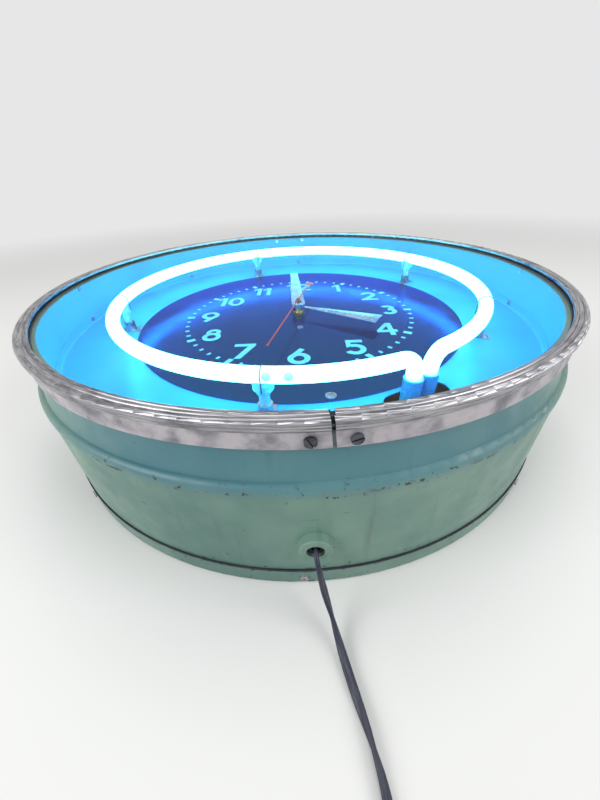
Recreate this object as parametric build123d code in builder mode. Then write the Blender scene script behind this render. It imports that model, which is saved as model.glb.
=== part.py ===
from build123d import *
import os
from math import atan2, ceil, cos, degrees, pi, radians, sin, sqrt, tan

# Neon wall clock, lying on its back: +Z is the way the dial faces, +Y points at 12 o'clock,
# and the origin is the centre of the base plane. Azimuths are in clock degrees, from 12
# o'clock through 3 o'clock. All sizes are in millimetres.

# --- Driving dimensions: case ---------------------------------------------------------
sheet = 1.2                 # gauge of the pressed steel case
bezel_radius = 330.0        # widest rib of the bezel, 26 in across
bezel_height = 181.5        # height of that rib above the base
bezel_lip_radius = 317.7    # clear opening inside the bezel
bezel_wall = 1.2
rib_width = 3.5
rib_rise = 1.1
skirt_radius = 327.3        # flat skirt under the ribs
skirt_bottom = 159.0
skirt_top = 173.0
neck_radius = 324.0         # case under the skirt
crease_radius = 328.2
crease_height = 129.0
drum_radius = 332.8         # rear drum, outside
lap_bottom = 119.8          # lower edge of the front ring where it laps the drum
lap_depth = 4.4
ledge_radius = 313.6        # inner edge of the flange that carries the glass
ledge_height = 176.0
rim_gauge = 1.4             # back cover
rim_height = 19.6
rim_corner = 2.5
foot_width = 16.0           # flat ring that the clock rests on
recess_depth = 14.2         # from the base plane to the inside of the back panel
seal_height = 2.2
cover_screw_count = 8
cover_screw_height = 10.0
hanging_spacing = 406.4     # 16 in between the two hanging holes
hanging_offset = 150.0      # of the holes above the centre
hanging_hole_radius = 4.5

# --- Glass and bezel joint ------------------------------------------------------------
glass_radius = 322.0
glass_thickness = 3.0
gasket_thickness = 1.4
split_azimuth = 176.0
split_width = 2.5
split_slant = 5.0
bezel_screw_pitch = 29.0
bezel_screw_height = 166.0
bezel_screw_head_radius = 4.35
bezel_screw_radius = 2.0

# --- Reflector and dial ---------------------------------------------------------------
deck_top = 121.0
deck_gauge = 1.2
deck_flange_height = 9.5
deck_corner = 3.0
wall_radius = 315.5         # inside of the reflector wall
wall_gauge = 0.8
deck_screw_count = 8
wall_rivet_azimuths = (1.8, 90.0, 180.0, 270.0, 351.6)
wall_rivet_height = 171.5
dial_radius = 228.6         # 18 in dial
dial_thickness = 1.6
dial_print = 0.3            # thickness of the applied numerals and markers
numeral_radius = 135.4
numeral_pair_radius = 131.0
numeral_height = 38.6
numeral_width = 27.0
numeral_stroke = 7.0
track_radius = 163.8
marker_length, marker_width = 5.6, 3.8
hour_marker_length, hour_marker_width = 11.0, 6.6
dial_screw_radius = 220.5
dial_screw_azimuths = (172.0, 357.0)
fixing_circle = 52.0        # screws that hang the movement behind the dial
fixing_azimuths = (0.0, 90.0, 178.0, 270.0)
fixing_radius = 2.0
head_gap = 0.03             # between a flat screw head and the curved sheet behind it
open_fixing = 3             # index of the hole whose screw is missing

# --- Neon tube ------------------------------------------------------------------------
tube_radius = 7.5
tube_wall = 1.0
ring_radius = 244.0
ring_height = 163.2
leg_azimuths = (154.2, 149.6)
leg_bend = 16.0
leg_bottom = 96.0
electrode_length = 18.0
sleeve_radius = 9.4
sleeve_bottom, sleeve_top = 108.0, 141.0
slot_radius = 248.0
slot_width = 28.0
slot_length = 74.0
support_azimuths = (187.0, 262.0, 340.0, 54.0, 113.0)
post_radius = 5.0
saddle_length = 19.0
saddle_width = 14.4
saddle_rise = 9.0
clip_radius = 7.0
clip_height = 13.0
clip_foot = 30.0
clip_gauge = 1.0
tie_radius = 0.6

# --- Hands ----------------------------------------------------------------------------
minute_azimuth, hour_azimuth, second_azimuth = 357.2, 119.8, 193.2
hour_hand_length, hour_hand_root, hour_hand_tip = 124.0, 4.0, 29.5
minute_hand_length, minute_hand_root, minute_hand_tip = 168.0, 20.0, 12.8
second_hand_length, second_tail, second_hand_width = 149.5, 82.0, 1.8
hour_hand_lift, minute_hand_lift, second_hand_lift = 12.0, 15.6, 20.6   # above the dial
hand_gauge = 0.8
hand_ridge = 1.5
counterweight_radius = 7.5

# --- Movement: arbors run inside one another, each with a running clearance -----------
running = 0.08
arbor_radius = 1.0
cannon_wall = 0.92
pipe_wall = 0.92
bushing_wall = 2.0
plate_gauge = 2.0
front_plate_radius = 62.0
back_plate_radius = 54.0
front_plate_gap = 10.0      # from the front plate to the deck
plate_spacing = 22.0
pillar_circle, pillar_radius = 40.0, 2.5
pillar_azimuths = (0.0, 90.0, 180.0, 270.0)
motion_distance = 24.0      # centre to minute wheel, and minute wheel to set arbor
cannon_teeth, minute_wheel_teeth, minute_pinion_teeth, hour_wheel_teeth = 15, 45, 12, 48
set_teeth = 15
motion_azimuth = 45.0
third_distance, third_azimuth = 20.0, 225.0
second_pinion_teeth, third_wheel_teeth, third_pinion_teeth, centre_wheel_teeth = 8, 64, 8, 60
motor_distance, motor_azimuth = 14.0, 45.0
motor_pinion_teeth, second_wheel_teeth = 10, 36
wheel_gauge = 1.5
rotor_can_radius, rotor_can_height = 20.0, 24.0
set_shaft_radius = 2.0
knob_radius, knob_height, knob_gap = 9.0, 9.0, 1.2

# --- Electrical parts inside ----------------------------------------------------------
transformer_size = (150.0, 90.0, 70.0)
transformer_offset = 150.0
insulator_length, insulator_radius = 26.0, 11.0
lead_radius = 3.5
terminal_place = (-60.0, -205.0)

# --- Cord -----------------------------------------------------------------------------
cord_radius = 3.5
bushing_place = (10.0, 63.0)    # x and height of the cord bushing
bushing_radius = 13.2
bushing_bore = 7.35
bushing_stand = 8.0
bushing_neck = 11.0
coil_centre = (84.0, -530.0)
coil_mid_radius = 39.0
coil_width = 12.8
coil_height = 14.2
coil_bottom = 1.0           # the coil lies on its tie
tie_gauge, tie_turn, tie_sweep = 0.9, 20.0, 7.0
plug_start = (140.0, -579.0, 7.0)
plug_length, plug_width, plug_height = 32.0, 25.0, 13.8
blade_spacing, blade_gauge, blade_width, blade_length = 12.7, 1.5, 6.35, 17.0
tail_route = [(92.0, -571.0, 6.0), (116.0, -579.0, 7.0), (140.0, -579.0, 7.0)]

# --- Derived levels -------------------------------------------------------------------
dial_top = deck_top + dial_thickness
deck_bottom = deck_top - deck_gauge
front_plate_top = deck_bottom - front_plate_gap
front_plate_bottom = front_plate_top - plate_gauge
back_plate_top = front_plate_bottom - plate_spacing
back_plate_bottom = back_plate_top - plate_gauge
cannon_radius = arbor_radius + running + cannon_wall
pipe_radius = cannon_radius + running + pipe_wall
bushing_outer = pipe_radius + running + bushing_wall
hour_plane = dial_top + hour_hand_lift
minute_plane = dial_top + minute_hand_lift
second_plane = dial_top + second_hand_lift
drum_inner = drum_radius - sheet
drum_top = lap_bottom + lap_depth
rim_radius = drum_radius + rim_gauge
foot_inner = rim_radius - rim_corner - foot_width
panel_bottom = recess_depth - rim_gauge
glass_bottom = ledge_height + gasket_thickness
glass_top = glass_bottom + glass_thickness

os.makedirs("parts", exist_ok=True)


def save(piece, name):
    """Label one finished sub-part and write it as its own STEP file."""
    piece.part.label = name
    export_step(piece.part, f"parts/{name}.step")


def at(radius, azimuth, height=0.0):
    """Point at a radius and clock azimuth, at a height above the base."""
    turn = radians(azimuth)
    return (radius * sin(turn), radius * cos(turn), height)


def facing(radius, azimuth, height):
    """Plane square to the radius: its x runs clockwise, its y up and its z outward."""
    turn = radians(azimuth)
    return Plane(origin=at(radius, azimuth, height), x_dir=(-cos(turn), sin(turn), 0),
                 z_dir=(sin(turn), cos(turn), 0))


def seated(radius, azimuth, height):
    """Level plane at a point, with its y along the radius."""
    turn = radians(azimuth)
    return Plane(origin=at(radius, azimuth, height), x_dir=(cos(turn), -sin(turn), 0),
                 z_dir=(0, 0, 1))


def turned(*points):
    """Revolve a closed outline of (radius, height) points about the clock's axis."""
    with BuildSketch(Plane.XZ) as outline:
        with BuildLine():
            Polyline(*points, close=True)
        make_face()
    revolve(outline.sketch, axis=Axis.Z)


def disc(radius, bottom, top, place=(0, 0), mode=Mode.ADD):
    """Upright cylinder between two heights."""
    with BuildSketch(Plane.XY.offset(bottom)) as outline:
        with Locations(place):
            Circle(radius)
    extrude(outline.sketch, amount=top - bottom, mode=mode)


def radial_rod(radius, azimuth, height, start, end, mode=Mode.ADD):
    """Cylinder along the radius, from one distance to another."""
    with BuildSketch(facing(start, azimuth, height)) as outline:
        Circle(radius)
    extrude(outline.sketch, amount=end - start, mode=mode)


def gear(teeth, module, bottom, top, centre, toward, bore, tooth_at=True):
    """Spur gear with a tooth, or a gap, on the line toward another wheel."""
    pitch = 360 / teeth
    first = 0 if tooth_at else pitch / 2
    pitch_radius = teeth * module / 2
    root, tip = pitch_radius - 1.15 * module, pitch_radius + 0.85 * module
    outline = []
    for k in range(teeth):
        middle = 90 - toward + first + k * pitch
        for radius, share in ((root, -0.27), (pitch_radius, -0.20), (tip, -0.09),
                              (tip, 0.09), (pitch_radius, 0.20), (root, 0.27)):
            turn = radians(middle + share * pitch)
            outline.append((centre[0] + radius * cos(turn), centre[1] + radius * sin(turn)))
    with BuildSketch(Plane.XY.offset(bottom)) as wheel:
        with BuildLine():
            Polyline(*outline, close=True)
        make_face()
        with Locations(centre):
            Circle(bore, mode=Mode.SUBTRACT)
    extrude(wheel.sketch, amount=top - bottom)


def hub(inner, outer, bottom, top, centre):
    """Round boss with a bore."""
    with BuildSketch(Plane.XY.offset(bottom)) as boss:
        with Locations(centre):
            Circle(outer)
            Circle(inner, mode=Mode.SUBTRACT)
    extrude(boss.sketch, amount=top - bottom)


def corner_radii(route):
    """Largest sensible arc for each corner of a route of straight runs."""
    radii = []
    for before, corner, after in zip(route, route[1:], route[2:]):
        first, second = Vector(*corner) - Vector(*before), Vector(*after) - Vector(*corner)
        turn = radians(first.get_angle(second))
        radii.append(0.45 * min(first.length, second.length) / tan(turn / 2))
    return radii


def tube(route, radius):
    """Round solid along straight runs joined by tangent arcs."""
    with BuildLine() as path:
        FilletPolyline(*route, radius=corner_radii(route))
    start = Vector(*route[0])
    with BuildSketch(Plane(origin=start, z_dir=Vector(*route[1]) - start)) as section:
        Circle(radius)
    sweep(section.sketch, path=path.wires()[0])


def screw_head(plane, radius, rise, slot, slot_turn=0.0):
    """Round head with a screwdriver slot, standing on a plane."""
    with BuildSketch(plane) as head:
        Circle(radius)
    extrude(head.sketch, amount=rise)
    with BuildSketch(plane.offset(rise)) as groove:
        Rectangle(3 * radius, slot, rotation=slot_turn)
    extrude(groove.sketch, amount=-rise / 2, mode=Mode.SUBTRACT)


# --- Case -----------------------------------------------------------------------------
lap_radius = drum_radius + sheet
lip_drop = 7.0              # flange that the reflector wall is riveted to
with BuildPart() as front_case_ring:
    with BuildSketch(Plane.XZ):
        with BuildLine():
            outer_cove = ThreePointArc((neck_radius, skirt_bottom), (neck_radius + 1.0, 143.0),
                                       (crease_radius, crease_height))
            Line((neck_radius, ledge_height), (neck_radius, skirt_bottom))
            ThreePointArc((crease_radius, crease_height), (lap_radius - 1.6, crease_height - 1.9),
                          (lap_radius, crease_height - 6.0))
            Line((lap_radius, crease_height - 6.0), (lap_radius, lap_bottom))
            Line((lap_radius, lap_bottom), (drum_radius, lap_bottom))
            Line((drum_radius, lap_bottom), (drum_radius, drum_top))
            Line((drum_radius, drum_top), (crease_radius - sheet, drum_top))
            ThreePointArc((crease_radius - sheet, drum_top),
                          (neck_radius - sheet + 1.0, 142.0), (neck_radius - sheet, skirt_bottom))
            Line((neck_radius - sheet, skirt_bottom),
                 (neck_radius - sheet, ledge_height - sheet))
            Line((neck_radius - sheet, ledge_height - sheet), (ledge_radius, ledge_height - sheet))
            Line((ledge_radius, ledge_height - sheet), (ledge_radius, ledge_height))
            Line((ledge_radius, ledge_height), (neck_radius, ledge_height))
        make_face()
    revolve(axis=Axis.Z)
    lip_inner = wall_radius + wall_gauge
    turned((lip_inner, ledge_height - sheet), (lip_inner, ledge_height - sheet - lip_drop),
           (lip_inner + sheet, ledge_height - sheet - lip_drop),
           (lip_inner + sheet, ledge_height - sheet))
    for azimuth in wall_rivet_azimuths:
        radial_rod(1.5, azimuth, wall_rivet_height, lip_inner - 0.5, lip_inner + sheet + 0.5,
                   Mode.SUBTRACT)
save(front_case_ring, "front_case_ring")

with BuildPart() as rear_drum:
    turned((drum_inner, rim_gauge), (drum_radius, rim_gauge), (drum_radius, drum_top),
           (drum_inner, drum_top))
    with BuildSketch(Plane.XZ.offset(drum_inner - 6)):
        with Locations(bushing_place):
            Circle(bushing_neck)
    extrude(amount=12, mode=Mode.SUBTRACT)
    for k in range(cover_screw_count):
        radial_rod(1.6, k * 360 / cover_screw_count, cover_screw_height, drum_inner - 0.5,
                   drum_radius + 0.5, Mode.SUBTRACT)
save(rear_drum, "rear_drum")

panel_radius = foot_inner + rim_gauge
set_place = at(2 * motion_distance, motion_azimuth)[:2]
transformer_screw_places = [(sx * (transformer_size[0] / 2 - 14),
                             transformer_offset + sy * (transformer_size[1] / 2 + 8))
                            for sx in (-1, 1) for sy in (-1, 1)]
with BuildPart() as back_cover:
    with BuildSketch(Plane.XZ):
        with BuildLine():
            Polyline((drum_radius, rim_gauge), (drum_radius, rim_height), (rim_radius, rim_height),
                     (rim_radius, rim_corner))
            ThreePointArc((rim_radius, rim_corner),
                          (rim_radius - rim_corner * (1 - cos(pi / 4)), rim_corner * (1 - sin(pi / 4))),
                          (rim_radius - rim_corner, 0))
            Polyline((rim_radius - rim_corner, 0), (foot_inner, 0), (foot_inner, panel_bottom),
                     (0, panel_bottom), (0, recess_depth), (panel_radius, recess_depth),
                     (panel_radius, rim_gauge), (drum_radius, rim_gauge))
        make_face()
    revolve(axis=Axis.Z)
    for k in range(cover_screw_count):
        radial_rod(1.6, k * 360 / cover_screw_count, cover_screw_height, drum_radius - 0.5,
                   rim_radius + 0.5, Mode.SUBTRACT)
    for side in (-1, 1):
        disc(hanging_hole_radius, panel_bottom - 1, recess_depth + 1,
             (side * hanging_spacing / 2, hanging_offset), Mode.SUBTRACT)
    disc(set_shaft_radius + 3, panel_bottom - 1, recess_depth + 1, set_place, Mode.SUBTRACT)
    for place in transformer_screw_places:
        disc(2.5, panel_bottom - 1, recess_depth + 1, place, Mode.SUBTRACT)
save(back_cover, "back_cover")

with BuildPart() as rim_seal:
    turned((drum_radius, rim_height), (rim_radius, rim_height),
           (rim_radius, rim_height + seal_height), (drum_radius, rim_height + seal_height))
save(rim_seal, "rim_seal")

with BuildPart() as back_cover_screws:
    for k in range(cover_screw_count):
        azimuth = k * 360 / cover_screw_count
        radial_rod(1.6, azimuth, cover_screw_height, drum_inner - 3, rim_radius)
        screw_head(facing(rim_radius, azimuth, cover_screw_height), 3.8, 1.7, 1.0, 25 * k)
save(back_cover_screws, "back_cover_screws")

# --- Glass, gasket and bezel ----------------------------------------------------------
with BuildPart() as cover_glass:
    disc(glass_radius, glass_bottom, glass_top)
    chamfer(cover_glass.edges().filter_by(GeomType.CIRCLE), length=0.5)
save(cover_glass, "cover_glass")

gasket_outer = neck_radius
gasket_lip = bezel_lip_radius + 1.2
with BuildPart() as glass_gasket:
    turned((gasket_lip - 1.6, ledge_height), (gasket_outer, ledge_height),
           (gasket_outer, glass_top + gasket_thickness), (gasket_lip, glass_top + gasket_thickness),
           (gasket_lip, glass_top), (glass_radius, glass_top), (glass_radius, glass_bottom),
           (gasket_lip - 1.6, glass_bottom))
save(glass_gasket, "glass_gasket")

rib_base = bezel_height + 1.4
skirt_inner = skirt_radius - bezel_wall
split_plane = facing(skirt_inner - 6, split_azimuth, (skirt_bottom + bezel_height) / 2)
bezel_inner_top = glass_top + gasket_thickness
with BuildPart() as bezel_band:
    with BuildSketch(Plane.XZ):
        with BuildLine():
            here = (bezel_lip_radius, glass_top + 0.2)
            there = (bezel_lip_radius, rib_base)
            Line(here, there)
            for k in range(3):
                here, there = there, (bezel_lip_radius + (k + 1) * rib_width, rib_base)
                ThreePointArc(here, ((here[0] + there[0]) / 2, rib_base + rib_rise), there)
            here, there = there, (bezel_radius - 0.4, bezel_height - 1.6)
            ThreePointArc(here, (bezel_radius - 0.1, bezel_height), there)
            slope = [(bezel_radius - 0.4, bezel_height - 1.6), (skirt_radius + 1.0, 176.6),
                     (skirt_radius, skirt_top)]
            for upper, lower in zip(slope, slope[1:]):
                middle = ((upper[0] + lower[0]) / 2 + 0.7, (upper[1] + lower[1]) / 2)
                ThreePointArc(upper, middle, lower)
            Polyline((skirt_radius, skirt_top), (skirt_radius, skirt_bottom),
                     (skirt_inner, skirt_bottom), (skirt_inner, 177.6),
                     (skirt_inner, bezel_inner_top), (bezel_lip_radius + bezel_wall, bezel_inner_top),
                     (bezel_lip_radius + bezel_wall, glass_top + 0.2),
                     (bezel_lip_radius, glass_top + 0.2))
        make_face()
    revolve(axis=Axis.Z)
    with BuildSketch(split_plane):
        Rectangle(split_width, 60, rotation=split_slant)
    extrude(amount=20, mode=Mode.SUBTRACT)
    with BuildSketch(facing(bezel_lip_radius - 2, split_azimuth, bezel_height)):
        Rectangle(split_width, 10, rotation=split_slant)
    extrude(amount=10, mode=Mode.SUBTRACT)
    for side in (-1, 1):
        azimuth = split_azimuth + side * degrees(bezel_screw_pitch / 2 / skirt_radius)
        radial_rod(bezel_screw_radius, azimuth, bezel_screw_height, skirt_inner - 0.5,
                   skirt_radius + 0.5, Mode.SUBTRACT)
save(bezel_band, "bezel_band")

strap_half = degrees(26.0 / skirt_radius)
with BuildPart() as bezel_joint_strap:
    turned((neck_radius, skirt_bottom + 1), (skirt_inner, skirt_bottom + 1),
           (skirt_inner, skirt_top), (neck_radius, skirt_top))
    with BuildSketch(Plane.XY.offset(skirt_bottom)):
        with BuildLine():
            Polyline((0, 0), at(400, split_azimuth - strap_half)[:2],
                     at(400, split_azimuth + strap_half)[:2], close=True)
        make_face()
    extrude(amount=20, mode=Mode.INTERSECT)
    for side in (-1, 1):
        azimuth = split_azimuth + side * degrees(bezel_screw_pitch / 2 / skirt_radius)
        radial_rod(bezel_screw_radius, azimuth, bezel_screw_height, neck_radius - 0.5,
                   skirt_inner + 0.5, Mode.SUBTRACT)
save(bezel_joint_strap, "bezel_joint_strap")

with BuildPart() as bezel_screws:
    for side, slot_turn in ((-1, 15), (1, -60)):
        azimuth = split_azimuth + side * degrees(bezel_screw_pitch / 2 / skirt_radius)
        radial_rod(bezel_screw_radius, azimuth, bezel_screw_height, neck_radius + 0.1,
                   skirt_radius)
        screw_head(facing(skirt_radius, azimuth, bezel_screw_height), bezel_screw_head_radius,
                   2.2, 1.2, slot_turn)
save(bezel_screws, "bezel_screws")

# --- Reflector ------------------------------------------------------------------------
with BuildPart() as reflector_wall:
    turned((wall_radius, deck_bottom), (wall_radius + wall_gauge, deck_bottom),
           (wall_radius + wall_gauge, ledge_height - sheet), (wall_radius, ledge_height - sheet))
    for azimuth in wall_rivet_azimuths:
        radial_rod(1.5, azimuth, wall_rivet_height, wall_radius - 1, wall_radius + 2,
                   Mode.SUBTRACT)
    for k in range(deck_screw_count):
        radial_rod(1.5, k * 360 / deck_screw_count, deck_top + 6, wall_radius - 1,
                   wall_radius + 2, Mode.SUBTRACT)
save(reflector_wall, "reflector_wall")

slot_azimuth = (leg_azimuths[0] + leg_azimuths[1]) / 2 + 0.9
clip_screw_circle = ring_radius + clip_foot / 2 - 4
flange_inner = wall_radius - deck_gauge
with BuildPart() as reflector_deck:
    with BuildSketch(Plane.XZ):
        with BuildLine():
            Polyline((0, deck_bottom), (wall_radius - deck_corner - deck_gauge, deck_bottom))
            ThreePointArc((wall_radius - deck_corner - deck_gauge, deck_bottom),
                          (wall_radius - (deck_corner + deck_gauge) * (1 - sin(pi / 4)),
                           deck_bottom + (deck_corner + deck_gauge) * (1 - cos(pi / 4))),
                          (wall_radius, deck_bottom + deck_corner + deck_gauge))
            Polyline((wall_radius, deck_bottom + deck_corner + deck_gauge),
                     (wall_radius, deck_top + deck_flange_height),
                     (flange_inner, deck_top + deck_flange_height),
                     (flange_inner, deck_top + deck_corner))
            ThreePointArc((flange_inner, deck_top + deck_corner),
                          (flange_inner - deck_corner * (1 - sin(pi / 4)),
                           deck_top + deck_corner * (1 - cos(pi / 4))),
                          (flange_inner - deck_corner, deck_top))
            Polyline((flange_inner - deck_corner, deck_top), (0, deck_top), (0, deck_bottom))
        make_face()
    revolve(axis=Axis.Z)
    with BuildSketch(seated(slot_radius, slot_azimuth, deck_bottom - 1)):
        SlotOverall(slot_length, slot_width)
    extrude(amount=4, mode=Mode.SUBTRACT)
    disc(bushing_outer, deck_bottom - 1, deck_top + 1, mode=Mode.SUBTRACT)
    for azimuth in fixing_azimuths:
        disc(fixing_radius, deck_bottom - 1, deck_top + 1, at(fixing_circle, azimuth)[:2],
             Mode.SUBTRACT)
    for azimuth in dial_screw_azimuths:
        disc(1.5, deck_bottom - 1, deck_top + 1, at(dial_screw_radius, azimuth)[:2],
             Mode.SUBTRACT)
    for azimuth in support_azimuths:
        disc(1.5, deck_bottom - 1, deck_top + 1, at(clip_screw_circle, azimuth)[:2],
             Mode.SUBTRACT)
    for k in range(deck_screw_count):
        radial_rod(1.5, k * 360 / deck_screw_count, deck_top + 6, flange_inner - 1,
                   wall_radius + 1, Mode.SUBTRACT)
save(reflector_deck, "reflector_deck")

with BuildPart() as reflector_screws:
    for k in range(deck_screw_count):
        azimuth = k * 360 / deck_screw_count
        radial_rod(1.5, azimuth, deck_top + 6, flange_inner - head_gap, wall_radius + wall_gauge + 2)
        screw_head(facing(flange_inner - head_gap, azimuth, deck_top + 6), 3.2, -1.5, 0.9, 35 * k)
    for azimuth in support_azimuths:
        disc(1.5, deck_bottom - 2, deck_top + clip_gauge, at(clip_screw_circle, azimuth)[:2])
        screw_head(seated(clip_screw_circle, azimuth, deck_top + clip_gauge), 2.8, 1.4, 0.8, azimuth)
save(reflector_screws, "reflector_screws")

with BuildPart() as wall_rivets:
    for azimuth in wall_rivet_azimuths:
        radial_rod(1.5, azimuth, wall_rivet_height, wall_radius, lip_inner + sheet + 1)
        radial_rod(3.0, azimuth, wall_rivet_height, wall_radius - 1.2, wall_radius - head_gap)
save(wall_rivets, "wall_rivets")

bracket_gauge = 1.5
bracket_azimuths = [30 + 60 * k for k in range(6)]
with BuildPart() as deck_brackets:
    for azimuth in bracket_azimuths:
        with BuildSketch(seated(wall_radius, azimuth, deck_bottom - bracket_gauge)):
            Rectangle(24, 31.0)
        extrude(amount=bracket_gauge)
        with BuildSketch(seated(drum_inner - bracket_gauge / 2, azimuth, deck_bottom - 28)):
            Rectangle(24, bracket_gauge)
        extrude(amount=28)
    with BuildSketch(Plane.XY.offset(deck_bottom - 30)):
        Circle(drum_inner - head_gap)
        Circle(drum_inner - 40, mode=Mode.SUBTRACT)
    extrude(amount=40, mode=Mode.INTERSECT)
save(deck_brackets, "deck_brackets")

# --- Dial -----------------------------------------------------------------------------
with BuildPart() as dial_plate:
    disc(dial_radius, deck_top, dial_top)
    disc(bushing_outer, deck_top - 1, dial_top + 1, mode=Mode.SUBTRACT)
    for azimuth in fixing_azimuths:
        disc(fixing_radius, deck_top - 1, dial_top + 1, at(fixing_circle, azimuth)[:2],
             Mode.SUBTRACT)
    for azimuth in dial_screw_azimuths:
        disc(1.5, deck_top - 1, dial_top + 1, at(dial_screw_radius, azimuth)[:2], Mode.SUBTRACT)
save(dial_plate, "dial_plate")

half_height, half_width, stroke = numeral_height / 2, numeral_width / 2, numeral_stroke
bowl = half_width - stroke / 2              # centre-line radius of the wide bowls
low = -half_height + half_width             # centre of the lower bowl
eye = half_height - 10.0                    # centre of the small upper bowls
eye_radius = 10.0 - stroke / 2


def stroke_along(*points):
    """Face of one straight pen stroke through a list of points."""
    with BuildLine() as pen:
        Polyline(*points)
    trace(pen.line, line_width=stroke)


def stroke_arc(centre, radius, start, size):
    """Face of one round pen stroke."""
    with BuildLine() as pen:
        CenterArc(centre, radius, start, size)
    trace(pen.line, line_width=stroke)


with BuildSketch() as digit_0:
    Ellipse(half_width, half_height)
    Ellipse(half_width - stroke, half_height - stroke, mode=Mode.SUBTRACT)
with BuildSketch() as digit_1:
    with BuildLine():
        Polyline((0, -half_height), (stroke, -half_height), (stroke, half_height), (0, half_height),
                 (-stroke, half_height - 6), (-stroke, half_height - 13), (0, half_height - 9),
                 close=True)
    make_face()
with BuildSketch() as digit_2:
    stroke_arc((0, half_height - half_width + 1), bowl - 1, -25, 195)
    stroke_along((bowl - 2, half_height - half_width - 3.4), (-bowl + 1, -half_height + stroke / 2))
    with Locations((0, -half_height + stroke / 2)):
        Rectangle(numeral_width, stroke)
with BuildSketch() as digit_3:
    stroke_arc((0, eye), eye_radius + 0.5, -90, 235)
    stroke_arc((0, low + 1.6), bowl - 1.6, -150, 240)
with BuildSketch() as digit_4:
    with BuildLine():
        Polyline((1.5, half_height), (9, half_height), (9, -3), (half_width, -3),
                 (half_width, -10), (9, -10), (9, -half_height), (2, -half_height), (2, -10),
                 (-half_width, -10), (-half_width, -4), close=True)
    make_face()
    with BuildLine():
        Polyline((2, -3.4), (2, 9), (-6.6, -3.4), close=True)
    make_face(mode=Mode.SUBTRACT)
with BuildSketch() as digit_5:
    with Locations((1, half_height - stroke / 2)):
        Rectangle(numeral_width - 6, stroke)
    with BuildLine():
        Polyline((-9.5, half_height), (-9.5, -1), (-4, 2), (-3, half_height), close=True)
    make_face()
    stroke_arc((0, low), bowl, -150, 270)
with BuildSketch() as digit_6:
    with Locations((0, low)):
        Circle(half_width)
        Circle(half_width - stroke, mode=Mode.SUBTRACT)
    stroke_along((-bowl + 1.4, low + 4), (4.0, half_height - 1.6))
with BuildSketch() as digit_7:
    with BuildLine():
        Polyline((-half_width, half_height), (half_width, half_height),
                 (half_width, half_height - 5), (-1.5, -half_height), (-9.5, -half_height),
                 (4.2, half_height - stroke), (-half_width, half_height - stroke), close=True)
    make_face()
with BuildSketch() as digit_8:
    with Locations((0, eye)):
        Circle(10.0)
        Circle(10.0 - stroke * 0.85, mode=Mode.SUBTRACT)
    with Locations((0, low + 1)):
        Circle(half_width - 1)
    with Locations((0, low + 1)):
        Circle(half_width - 1 - stroke * 0.92, mode=Mode.SUBTRACT)
with BuildSketch() as digit_9:
    add(digit_6.sketch.rotate(Axis.Z, 180))

digits = [digit_0, digit_1, digit_2, digit_3, digit_4, digit_5, digit_6, digit_7, digit_8, digit_9]
figure_widths = [numeral_width] + [stroke * 2] + [numeral_width] * 8
figure_gap = 3.0
with BuildPart() as dial_numerals:
    with BuildSketch(Plane.XY.offset(dial_top)):
        for hour in range(1, 13):
            figures = [int(letter) for letter in str(hour)]
            row = sum(figure_widths[figure] for figure in figures) + figure_gap * (len(figures) - 1)
            radius = numeral_radius if len(figures) == 1 else numeral_pair_radius
            left, level = at(radius, hour * 30)[0] - row / 2, at(radius, hour * 30)[1]
            for figure in figures:
                with Locations((left + figure_widths[figure] / 2, level)):
                    add(digits[figure].sketch)
                left += figure_widths[figure] + figure_gap
    extrude(amount=dial_print)
save(dial_numerals, "dial_numerals")

with BuildPart() as minute_markers:
    for minute in range(60):
        length = marker_length if minute % 5 else hour_marker_length
        width = marker_width if minute % 5 else hour_marker_width
        with BuildSketch(seated(track_radius, minute * 6, dial_top)):
            RectangleRounded(width, length, 0.8)
        extrude(amount=dial_print)
save(minute_markers, "minute_markers")

washer = 0.7
with BuildPart() as dial_screws:
    for azimuth in dial_screw_azimuths:
        disc(1.5, deck_bottom - 2, dial_top, at(dial_screw_radius, azimuth)[:2])
        disc(5.6, dial_top, dial_top + washer, at(dial_screw_radius, azimuth)[:2])
        screw_head(seated(dial_screw_radius, azimuth, dial_top + washer), 3.4, 1.5, 0.9, 20)
    for index, azimuth in enumerate(fixing_azimuths):
        if index != open_fixing:
            place = at(fixing_circle, azimuth)[:2]
            disc(fixing_radius, front_plate_bottom - 2, dial_top, place)
            disc(4.4, dial_top, dial_top + washer, place)
            screw_head(seated(fixing_circle, azimuth, dial_top + washer), 3.0, 1.3, 0.8, 50 * index)
save(dial_screws, "dial_screws")

# --- Neon tube ------------------------------------------------------------------------
bend_turn = degrees(leg_bend / ring_radius)
ring_from, ring_to = leg_azimuths[0] + bend_turn, leg_azimuths[1] - bend_turn + 360


def tube_path():
    """Leg up, bend, once round the ring, bend and leg down."""
    ends = []
    for azimuth, sense in ((ring_from, -1), (ring_to, 1)):
        turn = radians(azimuth)
        along = Vector(cos(turn), -sin(turn), 0) * sense
        ends.append((Vector(*at(ring_radius, azimuth, ring_height)), along))
    drop = Vector(0, 0, -leg_bend)
    (first, first_way), (last, last_way) = ends
    first_low, last_low = first + first_way * leg_bend + drop, last + last_way * leg_bend + drop
    Line((first_low.X, first_low.Y, leg_bottom), first_low)
    TangentArc(first, first_low, tangent=first_way)
    CenterArc((0, 0, ring_height), ring_radius, 90 - ring_from, -(ring_to - ring_from))
    TangentArc(last, last_low, tangent=last_way)
    Line(last_low, (last_low.X, last_low.Y, leg_bottom))
    return first_low, last_low


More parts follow.
